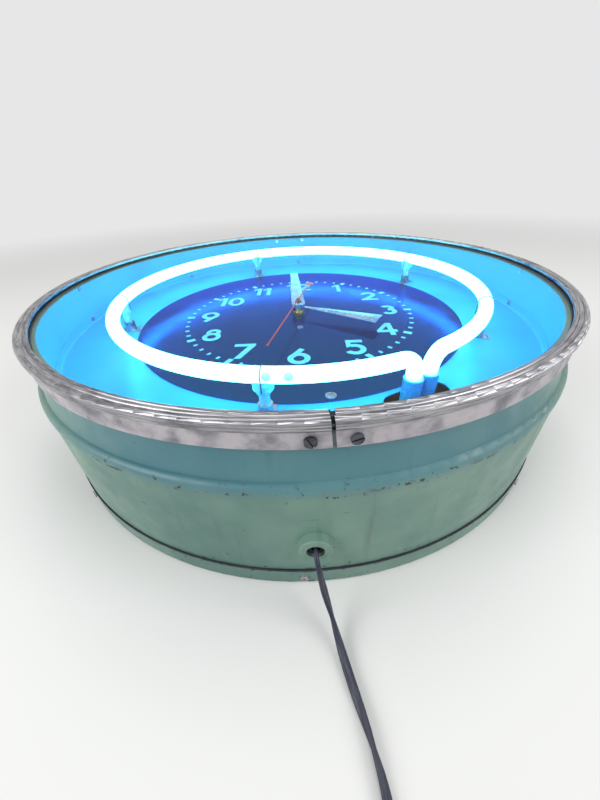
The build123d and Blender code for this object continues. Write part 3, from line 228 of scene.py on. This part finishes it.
@dataclass(frozen=True)
class WornEnamel:
    """Old green enamel on steel, with stains, scratches and chipped edges, and a painted blue-teal light
    on the front of the cove.
    """

    name: str = "worn_green_enamel"
    pale: Rgb = (0.165, 0.290, 0.235)
    deep: Rgb = (0.080, 0.185, 0.158)
    stain: Rgb = (0.060, 0.085, 0.060)
    rust: Rgb = (0.022, 0.016, 0.018)
    # painted light: a blue-teal colour laid on the cove, strongest towards 6 o'clock
    painted_teal_light: Rgb = (0.030, 0.170, 0.250)
    worn_heights: tuple[float, ...] = (0.1205, 0.0205, 0.001)
    teal_light_height: float = 0.143
    teal_light_share: float = 0.62
    teal_light_start: float = -0.20           # along Y, towards 6 o'clock
    teal_light_full: float = -0.32
    edge_width: float = 0.0035          # of the chipped line along an edge
    spot_width: float = 0.011           # of the spots beside it
    chip_depth: float = 0.00035

    def build(self) -> bpy.types.Material:
        """Return the material."""
        r = Recipe(self.name)
        height = r.axis("Z")
        cloud = r.fade(r.noise(7.0, 4.0), 0.34, 0.66)
        color = r.mix(cloud, self.deep, self.pale)
        runs = r.noise(1.0, 4.0, r.rolled(26.0, 9.0))
        color = r.mix(r.fade(runs, 0.56, 0.78, 0.0, 0.45), color, self.stain)
        specks = r.fade(r.noise(210.0, 2.0), 0.69, 0.73)
        patch = r.fade(r.noise(24.0, 3.0), 0.52, 0.66)
        chips = r.calc("MULTIPLY", specks, patch)
        for worn in self.worn_heights:
            near = r.calc("MULTIPLY", r.band(height, worn, 0.0006, self.edge_width),
                         r.fade(r.noise(5.0 + 90.0 * worn, 2.0), 0.42, 0.60))
            broken = r.fade(r.noise(95.0, 4.0), 0.50, 0.58)
            far = r.band(height, worn, 0.001, self.spot_width)
            spots = r.fade(r.noise(170.0, 3.0), 0.62, 0.68)
            chips = r.calc("MAXIMUM", chips, r.calc("MULTIPLY", near, broken))
            chips = r.calc("MAXIMUM", chips, r.calc("MULTIPLY", far, spots))
        scratches = r.noise(1.0, 3.0, r.rolled(9.0, 620.0))
        rare = r.fade(r.noise(11.0, 2.0), 0.56, 0.64)
        scratch = r.calc("MULTIPLY", r.fade(scratches, 0.70, 0.74), rare)
        # Painted light: the cove under the bezel turns blue-teal towards 6 o'clock, standing in for light
        # that falls there.
        front = r.fade(r.axis("Y"), self.teal_light_start, self.teal_light_full)
        teal_light_band = r.calc("MULTIPLY", r.band(height, self.teal_light_height, 0.012, 0.020), front)
        color = r.mix(r.calc("MULTIPLY", teal_light_band, self.teal_light_share), color, self.painted_teal_light)
        color = r.mix(r.calc("MAXIMUM", chips, scratch), color, self.rust)
        r.set(Base_Color=color, Metallic=0.0, IOR=1.5,
              Roughness=r.fade(r.noise(40.0, 4.0), 0.3, 0.7, 0.34, 0.52))
        skin = r.noise(160.0, 2.0)
        low = r.calc("SUBTRACT", r.calc("MULTIPLY", skin, 0.35), chips)
        r.bump(low, self.chip_depth, 0.6)
        return r.material


@dataclass(frozen=True)
class RolledAluminium:
    """Ribbed aluminium strip: bright worn ribs on top, painted shade on their outer curve where they turn
    under, and a flat matte skirt.
    """

    name: str = "rolled_aluminium"
    bright: Rgb = (0.50, 0.49, 0.50)
    dull: Rgb = (0.19, 0.19, 0.22)
    # dark colour of the random grime patches and of the painted shade on the outer curve
    grime_and_shade: Rgb = (0.075, 0.080, 0.105)
    skirt: Rgb = (0.50, 0.47, 0.50)
    skirt_top: float = 0.1735
    slope_start: float = 0.3312
    slope_end: float = 0.3340
    underside_shade_share: float = 0.6
    grain_depth: float = 0.00012
    skirt_roughness: float = 0.22       # added to the ribs' own

    def build(self) -> bpy.types.Material:
        """Return the material."""
        r = Recipe(self.name)
        height = r.axis("Z")
        grain = r.noise(1.0, 5.0, r.rolled(14.0, 900.0))
        patches = r.noise(30.0, 4.0)
        metal = r.mix(r.fade(grain, 0.3, 0.7), self.dull, self.bright)
        metal = r.mix(r.fade(patches, 0.55, 0.72, 0.0, 0.55), metal, self.grime_and_shade)
        # Painted shade: darker towards the outer edge, where the ribs turn under.
        outer = r.fade(r.reach(), self.slope_start, self.slope_end, 0.0, self.underside_shade_share)
        metal = r.mix(outer, metal, self.grime_and_shade)
        lower = r.fade(height, self.skirt_top, self.skirt_top - 0.0006)
        flat = r.mix(r.fade(r.noise(60.0, 5.0), 0.35, 0.75), self.skirt, self.dull)
        r.set(Base_Color=r.mix(lower, metal, flat),
              Metallic=r.fade(height, self.skirt_top - 0.0006, self.skirt_top, 0.55, 1.0),
              Roughness=r.calc("ADD", r.fade(grain, 0.3, 0.7, 0.26, 0.42),
                              r.calc("MULTIPLY", lower, self.skirt_roughness)))
        r.bump(grain, self.grain_depth, 0.5)
        return r.material


@dataclass(frozen=True)
class WornMetal:
    """Plain metal with fine grain and a duller tone in patches."""

    name: str
    bright: Rgb
    dull: Rgb
    roughness: float = 0.35
    metallic: float = 1.0
    grain: float = 320.0

    def build(self) -> bpy.types.Material:
        """Return the material."""
        r = Recipe(self.name)
        tone = r.fade(r.noise(55.0, 4.0), 0.35, 0.68)
        fine = r.noise(self.grain, 3.0)
        r.set(Base_Color=r.mix(tone, self.bright, self.dull), Metallic=self.metallic,
              Roughness=r.fade(fine, 0.3, 0.7, self.roughness * 0.75, self.roughness * 1.35))
        r.bump(fine, 0.00006, 0.6)
        return r.material


@dataclass(frozen=True)
class Moulded:
    """Moulded plastic, rubber or enamel with a soft mottled surface."""

    name: str
    color: Rgb
    worn: Rgb
    roughness: float = 0.5
    scale: float = 240.0
    depth: float = 0.00008

    def build(self) -> bpy.types.Material:
        """Return the material."""
        r = Recipe(self.name)
        tone = r.fade(r.noise(38.0, 4.0), 0.38, 0.72)
        fine = r.noise(self.scale, 3.0)
        r.set(Base_Color=r.mix(tone, self.color, self.worn), Metallic=0.0,
              Roughness=r.fade(fine, 0.3, 0.7, self.roughness * 0.8, self.roughness * 1.25))
        r.bump(fine, self.depth, 0.7)
        return r.material


@dataclass(frozen=True)
class ReflectorEnamel:
    """White gloss enamel, painted pale blue for the tube's light that falls on it, which throws the tube's
    light back.
    """

    name: str = "reflector_enamel"
    # painted light: the white enamel coloured blue by the tube's light on it
    color: Rgb = (0.020, 0.42, 0.82)
    stain: Rgb = (0.012, 0.27, 0.68)

    def build(self) -> bpy.types.Material:
        """Return the material."""
        r = Recipe(self.name)
        blotch = r.fade(r.noise(9.0, 4.0), 0.42, 0.70)
        dust = r.fade(r.noise(260.0, 2.0), 0.70, 0.74, 0.0, 0.5)
        color = r.mix(r.calc("MAXIMUM", r.calc("MULTIPLY", blotch, 0.5), dust), self.color, self.stain)
        r.set(Base_Color=color, Metallic=0.0, Roughness=0.32, IOR=1.35)
        # Painted reflection: the gloss is tinted blue for the tube's light that it mirrors.
        r.shader.inputs["Specular Tint"].default_value = (0.1, 0.75, 1.0, 1.0)
        r.bump(r.noise(90.0, 2.0), 0.0001, 0.5)
        return r.material


@dataclass(frozen=True)
class MirrorBlack:
    """Gloss black dial enamel, painted deep blue for the tube's light on it, which mirrors the lit tube.
    """

    name: str = "dial_black"
    # painted light: deep blue in place of black, for the tube's light on the dial; the hairline scratches
    # are painted light blue where that light catches them
    color: Rgb = (0.003, 0.075, 0.22)
    hair: Rgb = (0.02, 0.25, 0.45)
    painted_neon_tint: Rgb = (0.08, 0.45, 1.0)

    def build(self) -> bpy.types.Material:
        """Return the material."""
        r = Recipe(self.name)
        haze = r.noise(14.0, 4.0)
        hairs = r.fade(r.noise(1.0, 2.0, r.stretched((40.0, 700.0, 1.0))), 0.74, 0.77, 0.0, 0.5)
        # Painted reflection: the high metallic share and the blue specular tint colour the dial's
        # reflections blue for the lit tube.
        r.set(Base_Color=r.mix(hairs, self.color, self.hair), Metallic=0.9,
              Roughness=r.fade(haze, 0.3, 0.7, 0.14, 0.24))
        r.shader.inputs["Specular Tint"].default_value = (*self.painted_neon_tint, 1.0)
        r.bump(r.noise(30.0, 2.0), 0.00012, 0.35)
        return r.material


@dataclass(frozen=True)
class Glow:
    """Lit gas tube: near white in the body and cyan where the glass shows.

    The two bare spots are where the coating is missing on the outside of the tube.
    """

    name: str = "lit_tube"
    color: Rgb = (0.12, 0.80, 1.0)
    bare: Rgb = (0.0, 0.55, 0.70)
    power: float = 8.5
    leg_top: float = 0.139
    leg_fade: float = 0.012
    spots: tuple[Point, ...] = ()
    spot_radius: float = 0.0037
    spot_edge: float = 0.0005

    def build(self) -> bpy.types.Material:
        """Return the material."""
        r = Recipe(self.name)
        height = r.axis("Z")
        lit = r.fade(height, self.leg_top - self.leg_fade, self.leg_top + self.leg_fade, 0.0, 1.0)
        for spot in self.spots:
            gap = r.node("VectorMath", r.place, spot, operation="DISTANCE").outputs["Value"]
            lit = r.calc("MULTIPLY", lit, r.fade(gap, self.spot_radius, self.spot_radius + self.spot_edge))
        strength = r.calc("ADD", r.calc("MULTIPLY", lit, self.power - 1.0), 1.0)
        r.set(Base_Color=(0.7, 0.95, 1.0), Roughness=0.12,
              Emission_Color=r.mix(lit, self.bare, self.color), Emission_Strength=strength)
        return r.material


@dataclass(frozen=True)
class ThinGlass:
    """Clear flat glass that lets light straight through and mirrors more at a low angle."""

    name: str = "front_glass"
    mirror: Rgb = (0.92, 0.97, 1.0)
    least: float = 0.02
    most: float = 0.12
    dust: float = 0.03

    def build(self) -> bpy.types.Material:
        """Return the material."""
        r = Recipe(self.name)
        facing = r.node("LayerWeight", 0.5).outputs["Facing"]
        share = r.calc("ADD", r.calc("MULTIPLY", r.calc("POWER", facing, 5.0), self.most), self.least)
        specks = r.fade(r.noise(320.0, 2.0), 0.70, 0.76, 0.0, self.dust)
        r.set(Base_Color=self.mirror, Metallic=1.0, Roughness=0.03, Alpha=r.calc("ADD", share, specks))
        return r.material


@dataclass(frozen=True)
class PressedGlass:
    """Pressed glass of the tube supports, lit from above, its clear glass painted cyan for the tube's
    light in it.
    """

    name: str = "pressed_glass"
    # painted light: cyan for the tube's light in the clear glass
    color: Rgb = (0.10, 0.70, 0.95)
    alpha: float = 0.62

    def build(self) -> bpy.types.Material:
        """Return the material."""
        r = Recipe(self.name)
        fine = r.noise(120.0, 3.0)
        r.set(Base_Color=r.mix(r.fade(fine, 0.4, 0.6), self.color, (0.35, 0.95, 1.0)),
              Roughness=0.12, Alpha=self.alpha, IOR=1.5)
        r.bump(fine, 0.0006, 0.8)
        return r.material


class Metal(Enum):
    """Metals of the small parts."""

    PLATED = WornMetal("plated_steel", (0.52, 0.52, 0.54), (0.25, 0.24, 0.24), 0.40)
    DARK = WornMetal("darkened_steel", (0.16, 0.17, 0.20), (0.06, 0.06, 0.07), 0.45)
    # painted light: plain steel, tinted blue-grey for the tube's light on these inner parts
    SPRING = WornMetal("spring_steel", (0.40, 0.52, 0.60), (0.16, 0.22, 0.28), 0.32)
    BRASS = WornMetal("turned_brass", (0.72, 0.52, 0.20), (0.42, 0.28, 0.10), 0.30)
    # painted light: pale hands, coloured blue for the tube's light on them
    HAND = WornMetal("hand_metal", (0.34, 0.60, 0.82), (0.18, 0.44, 0.72), 0.30)
    CORE = WornMetal("core_steel", (0.20, 0.19, 0.19), (0.09, 0.07, 0.06), 0.55)


class Skin(Enum):
    """Rubbers, plastics and plain enamels of the small parts."""

    RUBBER = Moulded("seal_rubber", (0.010, 0.012, 0.022), (0.025, 0.026, 0.030), 0.62)
    CORD = Moulded("cord_jacket", (0.010, 0.014, 0.038), (0.030, 0.032, 0.050), 0.42, 500.0)
    SLEEVE = Moulded("blue_sleeve", (0.010, 0.30, 0.58), (0.006, 0.40, 0.68), 0.30)
    BAKELITE = Moulded("bakelite", (0.030, 0.014, 0.010), (0.050, 0.028, 0.020), 0.30)
    PORCELAIN = Moulded("porcelain", (0.78, 0.75, 0.68), (0.62, 0.58, 0.50), 0.18)
    BLACK = Moulded("black_enamel", (0.014, 0.014, 0.016), (0.040, 0.036, 0.032), 0.40)
    TAPE = Moulded("coil_tape", (0.30, 0.055, 0.030), (0.20, 0.030, 0.018), 0.45)
    # painted light: white print, coloured cyan for the tube's light on it
    PRINT = Moulded("dial_print", (0.10, 0.72, 0.90), (0.08, 0.62, 0.85), 0.50)
    RED = Moulded("red_enamel", (0.42, 0.035, 0.05), (0.30, 0.03, 0.05), 0.35)


@dataclass
class Wardrobe:
    """Materials by finish, each made once."""

    made: dict[str, bpy.types.Material] = field(default_factory=dict)

    def get(self, finish: object) -> bpy.types.Material:
        """Return the material of a finish, making it the first time."""
        finish = finish.value if isinstance(finish, Enum) else finish
        if finish.name not in self.made:
            self.made[finish.name] = finish.build()
        return self.made[finish.name]

    def dress(self, finish: object, *nodes: str) -> None:
        """Give CAD nodes one finish.

        Args:
            finish: A finish dataclass, or an Enum member that holds one.
            nodes: Names of CAD nodes.
        """
        for name in nodes:
            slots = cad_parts[name].data.materials
            slots.clear()
            slots.append(self.get(finish))
            log.info("dressed %s", name)


def mesh_piece(name: str, verts: list[Vector], faces: list[tuple[int, ...]],
               smooth: bool = True) -> bpy.types.Object:
    """Return a new mesh object.

    Args:
        name: Name of the object.
        verts: Points in metres.
        faces: Corner indices of each face.
        smooth: Whether its faces shade smoothly.

    Returns:
        The linked object.
    """
    mesh = bpy.data.meshes.new(name)
    mesh.from_pydata([tuple(v) for v in verts], [], faces)
    work = bmesh.new()
    work.from_mesh(mesh)
    bmesh.ops.recalc_face_normals(work, faces=work.faces)
    for face in work.faces:
        face.smooth = smooth
    work.to_mesh(mesh)
    work.free()
    piece = bpy.data.objects.new(name, mesh)
    bpy.context.scene.collection.objects.link(piece)
    return piece


def sweep(name: str, path: list[Vector], rings: list[list[Vector]]) -> bpy.types.Object:
    """Return a closed tube through a list of rings of equal length.

    Args:
        name: Name of the object.
        path: Centre of each ring, for its end caps.
        rings: Points of each ring.

    Returns:
        The linked object.
    """
    count = len(rings[0])
    verts = [point for ring in rings for point in ring] + [path[0], path[-1]]
    faces: list[tuple[int, ...]] = []
    for row in range(len(rings) - 1):
        for k in range(count):
            a, b = row * count + k, row * count + (k + 1) % count
            faces.append((a, b, b + count, a + count))
    start, end = len(verts) - 2, len(verts) - 1
    last = (len(rings) - 1) * count
    for k in range(count):
        faces.append((start, (k + 1) % count, k))
        faces.append((end, last + k, last + (k + 1) % count))
    return mesh_piece(name, verts, faces)


@dataclass
class CaseShell:
    """Drum, front ring, back cover and what is fixed to them."""

    paint: WornEnamel = field(default_factory=WornEnamel)

    def build(self, wardrobe: Wardrobe) -> None:
        """Dress the case."""
        wardrobe.dress(self.paint, "rear_drum", "front_case_ring", "back_cover", "cord_bushing")
        wardrobe.dress(Skin.RUBBER, "rim_seal", "glass_gasket", "cord_grommet")
        wardrobe.dress(Metal.PLATED, "back_cover_screws", "transformer_screws", "bushing_locknut",
                       "deck_brackets")


@dataclass
class Bezel:
    """Ribbed band with its joint, and the glass that it holds."""

    strip: RolledAluminium = field(default_factory=RolledAluminium)

    def build(self, wardrobe: Wardrobe) -> None:
        """Dress the bezel and the glass."""
        wardrobe.dress(self.strip, "bezel_band")
        wardrobe.dress(Metal.DARK, "bezel_joint_strap", "bezel_screws")
        wardrobe.dress(ThinGlass(), "cover_glass")


@dataclass
class Reflector:
    """Bright wall and deck round the dial, with their fixings."""

    def build(self, wardrobe: Wardrobe) -> None:
        """Dress the reflector."""
        wardrobe.dress(ReflectorEnamel(), "reflector_wall", "reflector_deck")
        wardrobe.dress(Metal.SPRING, "wall_rivets", "reflector_screws")


@dataclass
class Dial:
    """Black dial with its figures, markers and screws."""

    def build(self, wardrobe: Wardrobe) -> None:
        """Dress the dial."""
        wardrobe.dress(MirrorBlack(), "dial_plate")
        wardrobe.dress(Skin.PRINT, "dial_numerals", "minute_markers")
        wardrobe.dress(Metal.SPRING, "dial_screws")


@dataclass
class NeonTube:
    """Lit ring tube, its sleeves and its glass supports."""

    ring_radius: float = 0.244
    ring_height: float = 0.1632
    tube_radius: float = 0.0075
    spot_azimuths: tuple[float, ...] = (185.8, 181.6)
    spot_slope: float = 20.0            # degrees above the tube's outer side

    def bare_spots(self) -> tuple[Point, ...]:
        """Return the middles of the bare spots, on the tube's outer side."""
        slope = math.radians(self.spot_slope)
        reach = self.ring_radius + self.tube_radius * math.cos(slope)
        height = self.ring_height + self.tube_radius * math.sin(slope)
        return tuple(tuple(clock_point(reach, azimuth, height)) for azimuth in self.spot_azimuths)

    def build(self, wardrobe: Wardrobe) -> None:
        """Dress the tube and its supports."""
        wardrobe.dress(Glow(spots=self.bare_spots()), "neon_tube")
        wardrobe.dress(Skin.SLEEVE, "electrode_sleeves")
        wardrobe.dress(PressedGlass(), "tube_supports")
        wardrobe.dress(Metal.SPRING, "support_clips", "tube_electrodes")
        wardrobe.dress(Metal.DARK, "tie_wires")


@dataclass
class Hands:
    """Hour, minute and second hands with the hub."""

    def build(self, wardrobe: Wardrobe) -> None:
        """Dress the hands."""
        wardrobe.dress(Metal.HAND, "hour_hand", "minute_hand")
        wardrobe.dress(Skin.RED, "second_hand")
        wardrobe.dress(Metal.DARK, "hand_nut")
        wardrobe.dress(Metal.BRASS, "centre_bushing", "centre_nut")


@dataclass
class Movement:
    """Plates, wheels, motor and setting knob behind the dial."""

    def build(self, wardrobe: Wardrobe) -> None:
        """Dress the movement."""
        wardrobe.dress(Metal.BRASS, "cannon_pinion", "minute_wheel", "hour_wheel", "set_arbor",
                       "second_arbor", "third_wheel", "centre_wheel", "motor_pinion",
                       "movement_front_plate", "movement_back_plate", "rotor_can")
        wardrobe.dress(Metal.PLATED, "movement_pillars")
        wardrobe.dress(Metal.CORE, "motor_core")
        wardrobe.dress(Skin.TAPE, "motor_coil")
        wardrobe.dress(Skin.BAKELITE, "set_knob")


@dataclass
class Wiring:
    """Transformer, leads and terminal block inside the case."""

    def build(self, wardrobe: Wardrobe) -> None:
        """Dress the electrical parts."""
        wardrobe.dress(Skin.BLACK, "transformer_case")
        wardrobe.dress(Skin.PORCELAIN, "transformer_insulators")
        wardrobe.dress(Skin.RUBBER, "high_voltage_leads", "mains_lead")
        wardrobe.dress(Skin.BAKELITE, "terminal_block")


@dataclass
class PowerCord:
    """Flat two-strand cord: out of the bushing, down, along the floor and into a coil."""

    route: tuple[Point, ...] = (
        (10, -332.8, 63), (10, -341, 63), (11, -347.2, 58.8), (12.5, -351.4, 51), (14.5, -355, 41),
        (17.5, -360, 28), (21, -366.5, 16.5), (24.5, -377, 7.5), (28.5, -392, 4.2), (34, -411, 3.6),
        (41, -433, 3.6), (46.5, -457, 3.6), (45.8, -480, 3.8))
    tail: tuple[Point, ...] = ((99, -578.5, 10.4), (116, -579, 7.6), (129, -579, 7), (141, -579, 7))
    width: float = 0.007
    thickness: float = 0.0038
    length: float = 1.85
    coil_centre: Point = (84.0, -530.0, 1.0)
    coil_middle: float = 39.0
    turn_pitch: float = 4.2
    layer_pitch: float = 7.0
    turns: float = 6.0
    entry_turn: float = 150.0
    exit_turn: float = 270.0
    points_per_turn: int = 20
    loose_run: float = 0.24             # length that hangs and lies loose before the coil
    settle_run: float = 0.05            # length over which its twist dies away
    straight_run: float = 0.04          # length over which it starts, out of the bushing
    twist_angle: float = 62.0
    twist_rate: float = 46.0            # radians per metre
    ring_points: int = 24
    groove_depth: float = 0.34
    groove_narrowness: float = 2.6
    lobe_swell: float = 0.25

    def winding(self) -> list[Point]:
        """Return the coil's points, wound inwards on the floor and outwards on top, in millimetres."""
        shrink = math.cos(math.pi / self.points_per_turn)
        lead = (self.exit_turn - self.entry_turn) / 360.0
        count = round((self.turns + lead) * self.points_per_turn)
        points = []
        for k in range(count + 1):
            turned = k / self.points_per_turn - lead
            whole = math.floor(turned)
            step = whole + max(0.0, (turned - whole) * 4.0 - 3.0)
            inward = min(step, 2.0) if step < 3.0 else 5.0 - step
            radius = self.coil_middle + self.turn_pitch * (1.0 - inward)
            layer = min(1.0, max(0.0, step - 2.0))
            angle = math.radians(self.exit_turn + turned * 360.0)
            x, y, z = self.coil_centre
            points.append((x + radius / shrink * math.cos(angle), y + radius / shrink * math.sin(angle),
                           z + self.layer_pitch * (0.5 + layer)))
        return points

    def centreline(self) -> list[Vector]:
        """Return evenly fine points read from the route's smooth spline, in metres."""
        points = [*self.route, *self.winding(), *self.tail]
        curve = bpy.data.curves.new("cord_route", "CURVE")
        curve.dimensions = "3D"
        curve.resolution_u = 6
        line = curve.splines.new("NURBS")
        line.points.add(len(points) - 1)
        for target, point in zip(line.points, points):
            target.co = (*(Vector(point) * MM), 1.0)
        line.order_u = 3
        line.use_endpoint_u = True
        guide = bpy.data.objects.new("cord_route", curve)
        bpy.context.scene.collection.objects.link(guide)
        mesh = bpy.data.meshes.new_from_object(guide)
        read = [vertex.co.copy() for vertex in mesh.vertices]
        bpy.data.objects.remove(guide)
        bpy.data.meshes.remove(mesh)
        return read

    def outline(self, along: Vector, across: Vector) -> list[Vector]:
        """Return one cross-section of two strands side by side."""
        ring = []
        for k in range(self.ring_points):
            turn = math.tau * k / self.ring_points
            groove = math.exp(-(self.groove_narrowness * math.cos(turn)) ** 2)
            waist = 1.0 - self.groove_depth * groove
            ring.append(along * (self.width / 2 * math.cos(turn))
                        + across * (self.thickness / 2 * waist * math.sin(turn)
                                    * (1.0 + self.lobe_swell * abs(math.cos(turn)))))
        return ring

    def rings(self, path: list[Vector]) -> list[list[Vector]]:
        """Return the cross-sections, slowly twisted where the cord is loose and on edge in the coil.

        Args:
            path: Points of the centreline.

        Returns:
            One ring of points for each point of the centreline.
        """
        rings, run = [], 0.0
        for k, point in enumerate(path):
            before, after = path[max(k - 1, 0)], path[min(k + 1, len(path) - 1)]
            run += (point - before).length
            way = (after - before).normalized()
            side = way.cross(Vector((0, 0, 1))).normalized()
            up = side.cross(way).normalized()
            loose = max(0.0, min(1.0, (self.loose_run - run) / self.settle_run))
            loose *= min(1.0, run / self.straight_run)
            twist = math.radians(self.twist_angle) * math.sin(run * self.twist_rate) * loose
            along = up * math.cos(twist) + side * math.sin(twist)
            across = side * math.cos(twist) - up * math.sin(twist)
            rings.append([point + offset for offset in self.outline(along, across)])
        return rings

    def build(self, wardrobe: Wardrobe) -> bpy.types.Object:
        path = self.centreline()
        cord = sweep("cord", path, self.rings(path))
        cord.data.materials.append(wardrobe.get(Skin.CORD))
        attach(cord, CASE_BODY)
        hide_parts("power_cord", "power_cord_coil")
        wardrobe.dress(Skin.CORD, "plug_body")
        wardrobe.dress(Metal.BRASS, "plug_blades")
        wardrobe.dress(Metal.DARK, "coil_tie")
        return cord


@dataclass(frozen=True)
class Lamp:
    """A square soft lamp: its name, its place in metres and its power in watts."""

    name: str
    place: Point
    power: float


@dataclass
class Studio:
    """Camera, pale floor, world and soft lamps."""

    place: Point = (0.0064, -0.4721, 0.3022)
    yaw: float = -1.29
    pitch: float = -35.85
    roll: float = -2.69
    lens: float = 14.47
    sensor: float = 36.0
    floor_size: float = 60.0
    floor_color: Rgb = (0.80, 0.80, 0.79)
    fade_start: float = 0.8
    fade_end: float = 2.6
    lit: float = 0.42
    shown: float = 0.80
    lamp_size: float = 1.2
    aim: Point = (0.0, 0.0, 0.08)
    lamps: tuple[Lamp, ...] = (Lamp("left_lamp", (-1.5, -1.0, 1.1), 22.0),
                               Lamp("right_lamp", (1.6, -0.8, 1.2), 20.0),
                               Lamp("top_lamp", (0.1, 0.5, 2.4), 16.0))

    def camera(self) -> None:
        """Make the camera at the picture's viewing angle."""
        data = bpy.data.cameras.new("camera")
        data.lens, data.sensor_width = self.lens, self.sensor
        data.sensor_fit = "AUTO"
        data.clip_start = 0.01
        yaw, pitch, roll = (math.radians(a) for a in (self.yaw, self.pitch, self.roll))
        level = math.cos(pitch)
        forward = Vector((math.sin(yaw) * level, math.cos(yaw) * level, math.sin(pitch)))
        right = Vector((math.cos(yaw), -math.sin(yaw), 0.0))
        up = right.cross(forward)
        right, up = (right * math.cos(roll) + up * math.sin(roll),
                     up * math.cos(roll) - right * math.sin(roll))
        camera = bpy.data.objects.new("camera", data)
        turned = Matrix((right, up, -forward)).transposed()
        camera.matrix_world = Matrix.Translation(self.place) @ turned.to_4x4()
        bpy.context.scene.collection.objects.link(camera)
        bpy.context.scene.camera = camera

    def hang(self, lamp: Lamp) -> None:
        """Hang a soft lamp so that it faces the clock.

        Args:
            lamp: The lamp.
        """
        data = bpy.data.lights.new(lamp.name, "AREA")
        data.size, data.energy = self.lamp_size, lamp.power
        hung = bpy.data.objects.new(lamp.name, data)
        aim = Vector(self.aim) - Vector(lamp.place)
        hung.rotation_euler = aim.to_track_quat("-Z", "Y").to_euler()
        hung.location = lamp.place
        bpy.context.scene.collection.objects.link(hung)

    def floor(self) -> None:
        """Lay the pale floor."""
        half = self.floor_size / 2
        corners = [Vector((x * half, y * half, 0.0)) for x, y in ((-1, -1), (1, -1), (1, 1), (-1, 1))]
        plane = mesh_piece("floor", corners, [(0, 1, 2, 3)], smooth=False)
        r = Recipe("pale_floor")
        away = r.fade(r.reach(), self.fade_start, self.fade_end)
        seen = self.seen_rays(r.tree)
        r.set(Base_Color=r.mix(away, self.floor_color, (0.0, 0.0, 0.0)), Roughness=0.9,
              Specular_IOR_Level=0.0, Emission_Color=(1.0, 1.0, 1.0),
              Emission_Strength=r.calc("MULTIPLY", r.calc("MULTIPLY", away, seen), self.shown))
        plane.data.materials.append(r.material)

    def seen_rays(self, tree: bpy.types.NodeTree) -> Socket:
        """Return 1 for rays that show the background by sight, mirror or glass, else 0."""
        path = tree.nodes.new("ShaderNodeLightPath")
        seen = path.outputs["Is Camera Ray"]
        for ray in ("Is Glossy Ray", "Is Transmission Ray"):
            either = tree.nodes.new("ShaderNodeMath")
            either.operation = "MAXIMUM"
            tree.links.new(seen, either.inputs[0])
            tree.links.new(path.outputs[ray], either.inputs[1])
            seen = either.outputs[0]
        return seen

    def world(self) -> None:
        """Make the pale world: plain to the eye, dimmer as light."""
        world = bpy.data.worlds.new("studio")
        world.use_nodes = True
        tree = world.node_tree
        background = tree.nodes["Background"]
        strength = tree.nodes.new("ShaderNodeMapRange")
        strength.inputs["To Min"].default_value = self.lit
        strength.inputs["To Max"].default_value = self.shown
        tree.links.new(self.seen_rays(tree), strength.inputs["Value"])
        tree.links.new(strength.outputs[0], background.inputs["Strength"])
        background.inputs["Color"].default_value = (1.0, 1.0, 1.0, 1.0)
        bpy.context.scene.world = world

    def build(self) -> None:
        """Set up the view, the lamps and the floor."""
        bpy.context.scene.view_settings.view_transform = "Standard"
        self.camera()
        self.floor()
        self.world()
        for lamp in self.lamps:
            self.hang(lamp)


def main() -> None:
    """Build the clock piece by piece and set up its studio."""
    logging.basicConfig(level=logging.INFO, format="%(name)s: %(message)s")
    wardrobe = Wardrobe()
    Studio().build()
    PowerCord().build(wardrobe)
    for part in (CaseShell(), Bezel(), Reflector(), Dial(), NeonTube(), Hands(), Movement(), Wiring()):
        part.build(wardrobe)
        log.info("finished %s", type(part).__name__)


if __name__ == "__main__":
    main()
